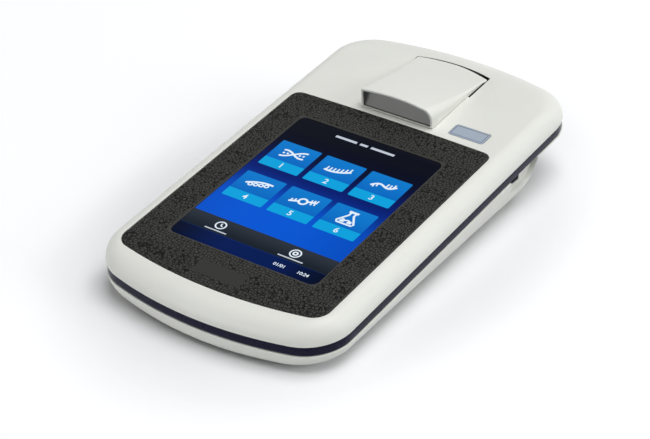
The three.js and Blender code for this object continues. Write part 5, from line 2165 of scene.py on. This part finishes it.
@dataclass(frozen=True)
class Studio:
    """The floor, the lamps, the white surroundings and the camera."""

    camera: tuple[float, float, float] = (496.4, -745.3, 573.3)
    turn: float = 34.27
    dip: float = 32.5
    lens: float = 115.01
    sensor: float = 36.0
    floor_half: float = 6.0
    ambient: float = 0.06
    lift: float = 0.24
    lift_width: float = 1.5
    lift_near: tuple[float, float] = (125.0, 205.0)
    lift_far: tuple[float, float] = (400.0, 2200.0)

    def world(self) -> None:
        """Lights the scene evenly, and shows plain white to the camera and in reflections."""
        world = bpy.data.worlds.new("studio")
        world.use_nodes = True
        bpy.context.scene.world = world
        tree = world.node_tree
        path = tree.nodes.new("ShaderNodeLightPath").outputs
        seen = path["Is Camera Ray"]
        for other in ("Is Glossy Ray", "Is Transmission Ray"):
            node = tree.nodes.new("ShaderNodeMath")
            node.operation = "MAXIMUM"
            tree.links.new(seen, node.inputs[0])
            tree.links.new(path[other], node.inputs[1])
            seen = node.outputs[0]
        plain = tree.nodes["Background"]
        plain.inputs["Color"].default_value = (1.0, 0.995, 0.985, 1.0)
        plain.inputs["Strength"].default_value = self.ambient
        white = tree.nodes.new("ShaderNodeBackground")
        white.inputs["Color"].default_value = (1.0, 1.0, 1.0, 1.0)
        mixer = tree.nodes.new("ShaderNodeMixShader")
        tree.links.new(seen, mixer.inputs[0])
        tree.links.new(plain.outputs[0], mixer.inputs[1])
        tree.links.new(white.outputs[0], mixer.inputs[2])
        tree.links.new(mixer.outputs[0], tree.nodes["World Output"].inputs["Surface"])

    def floor(self) -> bpy.types.Object:
        """Makes the floor: pale and matt, nearly white to the camera, and lifted to white further out.

        The lift grows with the distance from the middle, sqrt((width * x)^2 + y^2): a little at first, and
        fully far away.

        Returns:
            The object.
        """
        half = self.floor_half
        mesh = bpy.data.meshes.new("floor")
        corners = [(-half, -half, 0), (half, -half, 0), (half, half, 0), (-half, half, 0)]
        mesh.from_pydata(corners, [], [(0, 1, 2, 3)])
        floor = linked("floor", mesh)
        shader = Shader("floor paper")
        fibres = shader.noise(30.0, 3.0)
        pale = shader.mix((202, 203, 205), (208, 209, 211), fibres)
        shader.set(roughness=0.9, specular_ior_level=0.1)
        path = shader.node("ShaderNodeLightPath", {}, {}).outputs
        seen = Value(shader, path["Is Camera Ray"]).math("MAXIMUM", Value(shader, path["Is Glossy Ray"]))
        x, y, _ = shader.millimetres()
        across = x * self.lift_width
        away = (across * across + y * y).math("SQRT")
        glow = away.ease(*self.lift_near) * self.lift + away.ease(*self.lift_far) * (1 - self.lift)
        shader.set(base_color=shader.mix(pale, (238, 239, 241), seen))
        lifted = shader.mix((0, 0, 0), (255, 255, 255), seen * glow)
        shader.set(emission_color=lifted, emission_strength=1.0)
        mesh.materials.append(shader.material)
        return floor

    def lamp(self, name: str, place: Colour, aim: Colour, size: tuple[float, float], power: float) -> None:
        """Adds a soft rectangular lamp.

        Args:
            name: Its name.
            place: Where it stands, in metres.
            aim: The point that it faces.
            size: Its width and height in metres.
            power: Its power in watts.
        """
        data = bpy.data.lights.new(name, "AREA")
        data.shape = "RECTANGLE"
        data.size, data.size_y = size
        data.energy = power
        lamp = linked(name, data)
        lamp.location = place
        lamp.rotation_euler = (Vector(aim) - Vector(place)).to_track_quat("-Z", "Y").to_euler()

    def view(self) -> None:
        """Places the camera where the photograph was taken from."""
        data = bpy.data.cameras.new("camera")
        data.sensor_fit = "HORIZONTAL"
        data.sensor_width = self.sensor
        data.lens = self.lens
        data.clip_start, data.clip_end = 0.05, 40.0
        camera = linked("camera", data)
        camera.location = [value * MM for value in self.camera]
        camera.rotation_euler = (math.radians(90.0 - self.dip), 0.0, math.radians(self.turn))
        bpy.context.scene.camera = camera

    def build(self) -> None:
        """Makes the studio."""
        self.world()
        self.floor()
        self.lamp("overhead", (0.65, 0.4, 3.2), (0.0, 0.0, 0.0), (2.5, 2.5), 92.0)
        self.lamp("side", (2.2, 0.6, 1.0), (0.0, 0.0, 0.0), (1.6, 1.0), 22.0)
        self.lamp("fill", (-0.5, -1.5, 0.14), (0.0, 0.0, 0.02), (1.4, 0.2), 9.0)
        self.view()
        bpy.context.scene.view_settings.view_transform = "Standard"


class Fluorometer:
    """Builds the dressed pieces in order, and gives each its body, its slot and its finish."""

    def __init__(self, nodes: dict[str, bpy.types.Object], slots: dict[str, str]) -> None:
        """Sets up the sub-assemblies and the finishes.

        Args:
            nodes: The CAD nodes by name.
            slots: The material slot of each node.
        """
        self.nodes = nodes
        self.slots = slots
        self.case = Case()
        self.deck = self.case.deck
        self.panel = Panel()
        self.lid = Lid()
        self.well = Well()
        self.badge = Badge()
        self.ports = Ports()
        self.lower = LowerShell(self.case, self.ports)
        self.screen = Screen(self.case, self.panel)
        deck, lid = self.deck, self.lid
        # Painted shade: a near-black tone on the bay's walls and floor under the lid's rear stands for the shade inside
        # the bay
        dark = (16, 16, 17)
        start, end = lid.bay_front - 1.0, lid.rear + 3.0
        centre, radius = lid.rear - lid.rear_bow, lid.rear_bow + lid.bay_gap + 0.12
        painted_shades = (
            PaintedShade(deck, (-25.0, start, -lid.bay_lip), (25.0, end, -0.12), dark, arc=(centre, radius)),
            PaintedShade(deck, (-25.0, start, -20.0), (25.0, end, -lid.bay_lip), dark, arc=(centre, radius + lid.bay_swing)),
            # Painted shade: a grey tone in the fingertip recess under the lid's front stands for the shade in the
            # recess
            PaintedShade(deck, (-21.0, lid.front + 0.5, 0.5), (20.8, lid.front + 7.0, 10.6), (118, 119, 116), 5.9, 0.28),
        )
        self.finishes = {
            "white_plastic": Moulded("pale shell", (226, 227, 221), 0.42, 0.012, 0.3, 0.006, 0.35, painted_shades).build(),
            "navy_trim": Moulded("navy stripe", (11, 9, 41), 0.28, 0.08, 0.5, 0.004, 0.12).build(),
            "dark_panel": MazePanel("textured panel", deck, self.panel).build(),
            "glass": Picture("lit glass", deck, self.screen).build(),
            "display": Clear("display cell", (18, 40, 92)).build(),
            "steel": Metal("steel", (196, 198, 202)).build(),
            "badge": BadgePlate("silver blue plate", deck, self.badge).build(),
            "black_plastic": Moulded("black plastic", (34, 35, 37), 0.5, 0.12).build(),
            "circuit_board": Laminate("circuit board").build(),
            "rubber": Moulded("rubber", (40, 41, 44), 0.7, 0.1, 0.5, 0.02).build(),
            "blue_filter": Clear("blue filter", (44, 104, 220)).build(),
            "red_filter": Clear("red filter", (196, 46, 38)).build(),
            "green_filter": Clear("green filter", (52, 176, 92)).build(),
            "led_lens": Clear("clear lens", (218, 226, 234)).build(),
            "ribbon": Ribbon("ribbon").build(),
        }
        self.mark = Lit("white marks", (226, 240, 252), 1.0).build()
        self.dash = Lit("faint marks", (196, 206, 220), 0.9).build()

    def put(self, piece: bpy.types.Object, slot: str, stands_for: Sequence[str] = (), body: Body = Body.CASE,
            finish: bpy.types.Material | None = None) -> None:
        """Dresses a piece and ties it to its body.

        Args:
            piece: The piece.
            slot: The record's material slot.
            stands_for: The CAD nodes that it stands for.
            body: The body that it rides on.
            finish: Its material, if it isn't the slot's own.
        """
        piece.data.materials.clear()
        piece.data.materials.append(finish or self.finishes[slot])
        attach(piece, body.value)
        if stands_for:
            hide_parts(*stands_for)
        LOG.info("%s: %d faces, finish %s", piece.name, len(piece.data.polygons), slot)

    def build_case(self) -> None:
        """Builds the shells, the stripe, the badge, the feet, the screws and the sockets."""
        deck, case, ports = self.deck, self.case, self.ports
        upper = UpperShell(case, self.panel, self.lid, self.well, self.badge)
        self.put(upper.build(deck), "white_plastic", ["upper_housing"])
        self.put(self.lower.build(deck), "white_plastic", ["lower_housing"])
        self.put(Stripe(case).build(deck), "navy_trim", ["belt_trim"])
        self.put(self.badge.build(deck), "badge", ["badge_plate"])
        self.put(self.well.build(deck, case.gap), "black_plastic", ["tube_well"])
        for i, foot in enumerate(self.lower.rubber_feet()):
            self.put(foot, "rubber", [f"rubber_foot_{i + 1}"])
        for i, bolt in enumerate(self.lower.case_screws(deck)):
            self.put(bolt, "steel", [f"case_screw_{i + 1}"])
        can, tongue, contacts = ports.side()
        self.put(can, "steel", ["usb_a_socket"])
        self.put(tongue, "black_plastic")
        self.put(contacts, "steel")
        inlet, pin = ports.inlet()
        self.put(inlet, "black_plastic", ["dc_inlet"])
        self.put(pin, "steel")
        can, tongue = ports.small()
        self.put(can, "steel", ["mini_usb_socket"])
        self.put(tongue, "black_plastic")

    def build_screen(self) -> None:
        """Builds the panel, the glass and what the screen shows."""
        screen = self.screen
        self.put(self.panel.build(self.deck), "dark_panel", ["bezel_panel"])
        self.put(screen.glass(self.deck), "glass", ["touch_glass"])
        self.put(screen.drawn(self.deck, "screen_symbols", screen.marks()), "display", finish=self.mark)
        self.put(screen.drawn(self.deck, "screen_dashes", screen.dashes()), "display", finish=self.dash)
        self.put(screen.numbers(self.deck), "display", finish=self.mark)

    def build_lid(self) -> None:
        """Builds the lid with its knuckles, liner and seal."""
        lid, deck, gap = self.lid, self.deck, self.case.gap
        self.put(lid.cover(deck), "white_plastic", ["lid_shell"], Body.LID)
        self.put(lid.knuckles(deck), "white_plastic", body=Body.LID)
        self.put(lid.liner(deck, gap), "black_plastic", ["lid_liner"], Body.LID)
        self.put(lid.seal(deck, gap), "rubber", ["lid_seal"], Body.LID)

    def dress_nodes(self) -> None:
        """Gives every CAD node the finish of its slot."""
        for name, node in self.nodes.items():
            node.data.materials.clear()
            node.data.materials.append(self.finishes[self.slots[name]])


def main() -> None:
    logging.basicConfig(level=logging.INFO, format="%(name)s: %(message)s")
    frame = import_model()
    slots = {part["node"]: part["material_slot"] for part in frame["record"]["subparts"]}
    fluorometer = Fluorometer(frame["nodes"], slots)
    fluorometer.dress_nodes()
    fluorometer.build_case()
    fluorometer.build_screen()
    fluorometer.build_lid()
    Studio().build()


if __name__ == "__main__":
    main()
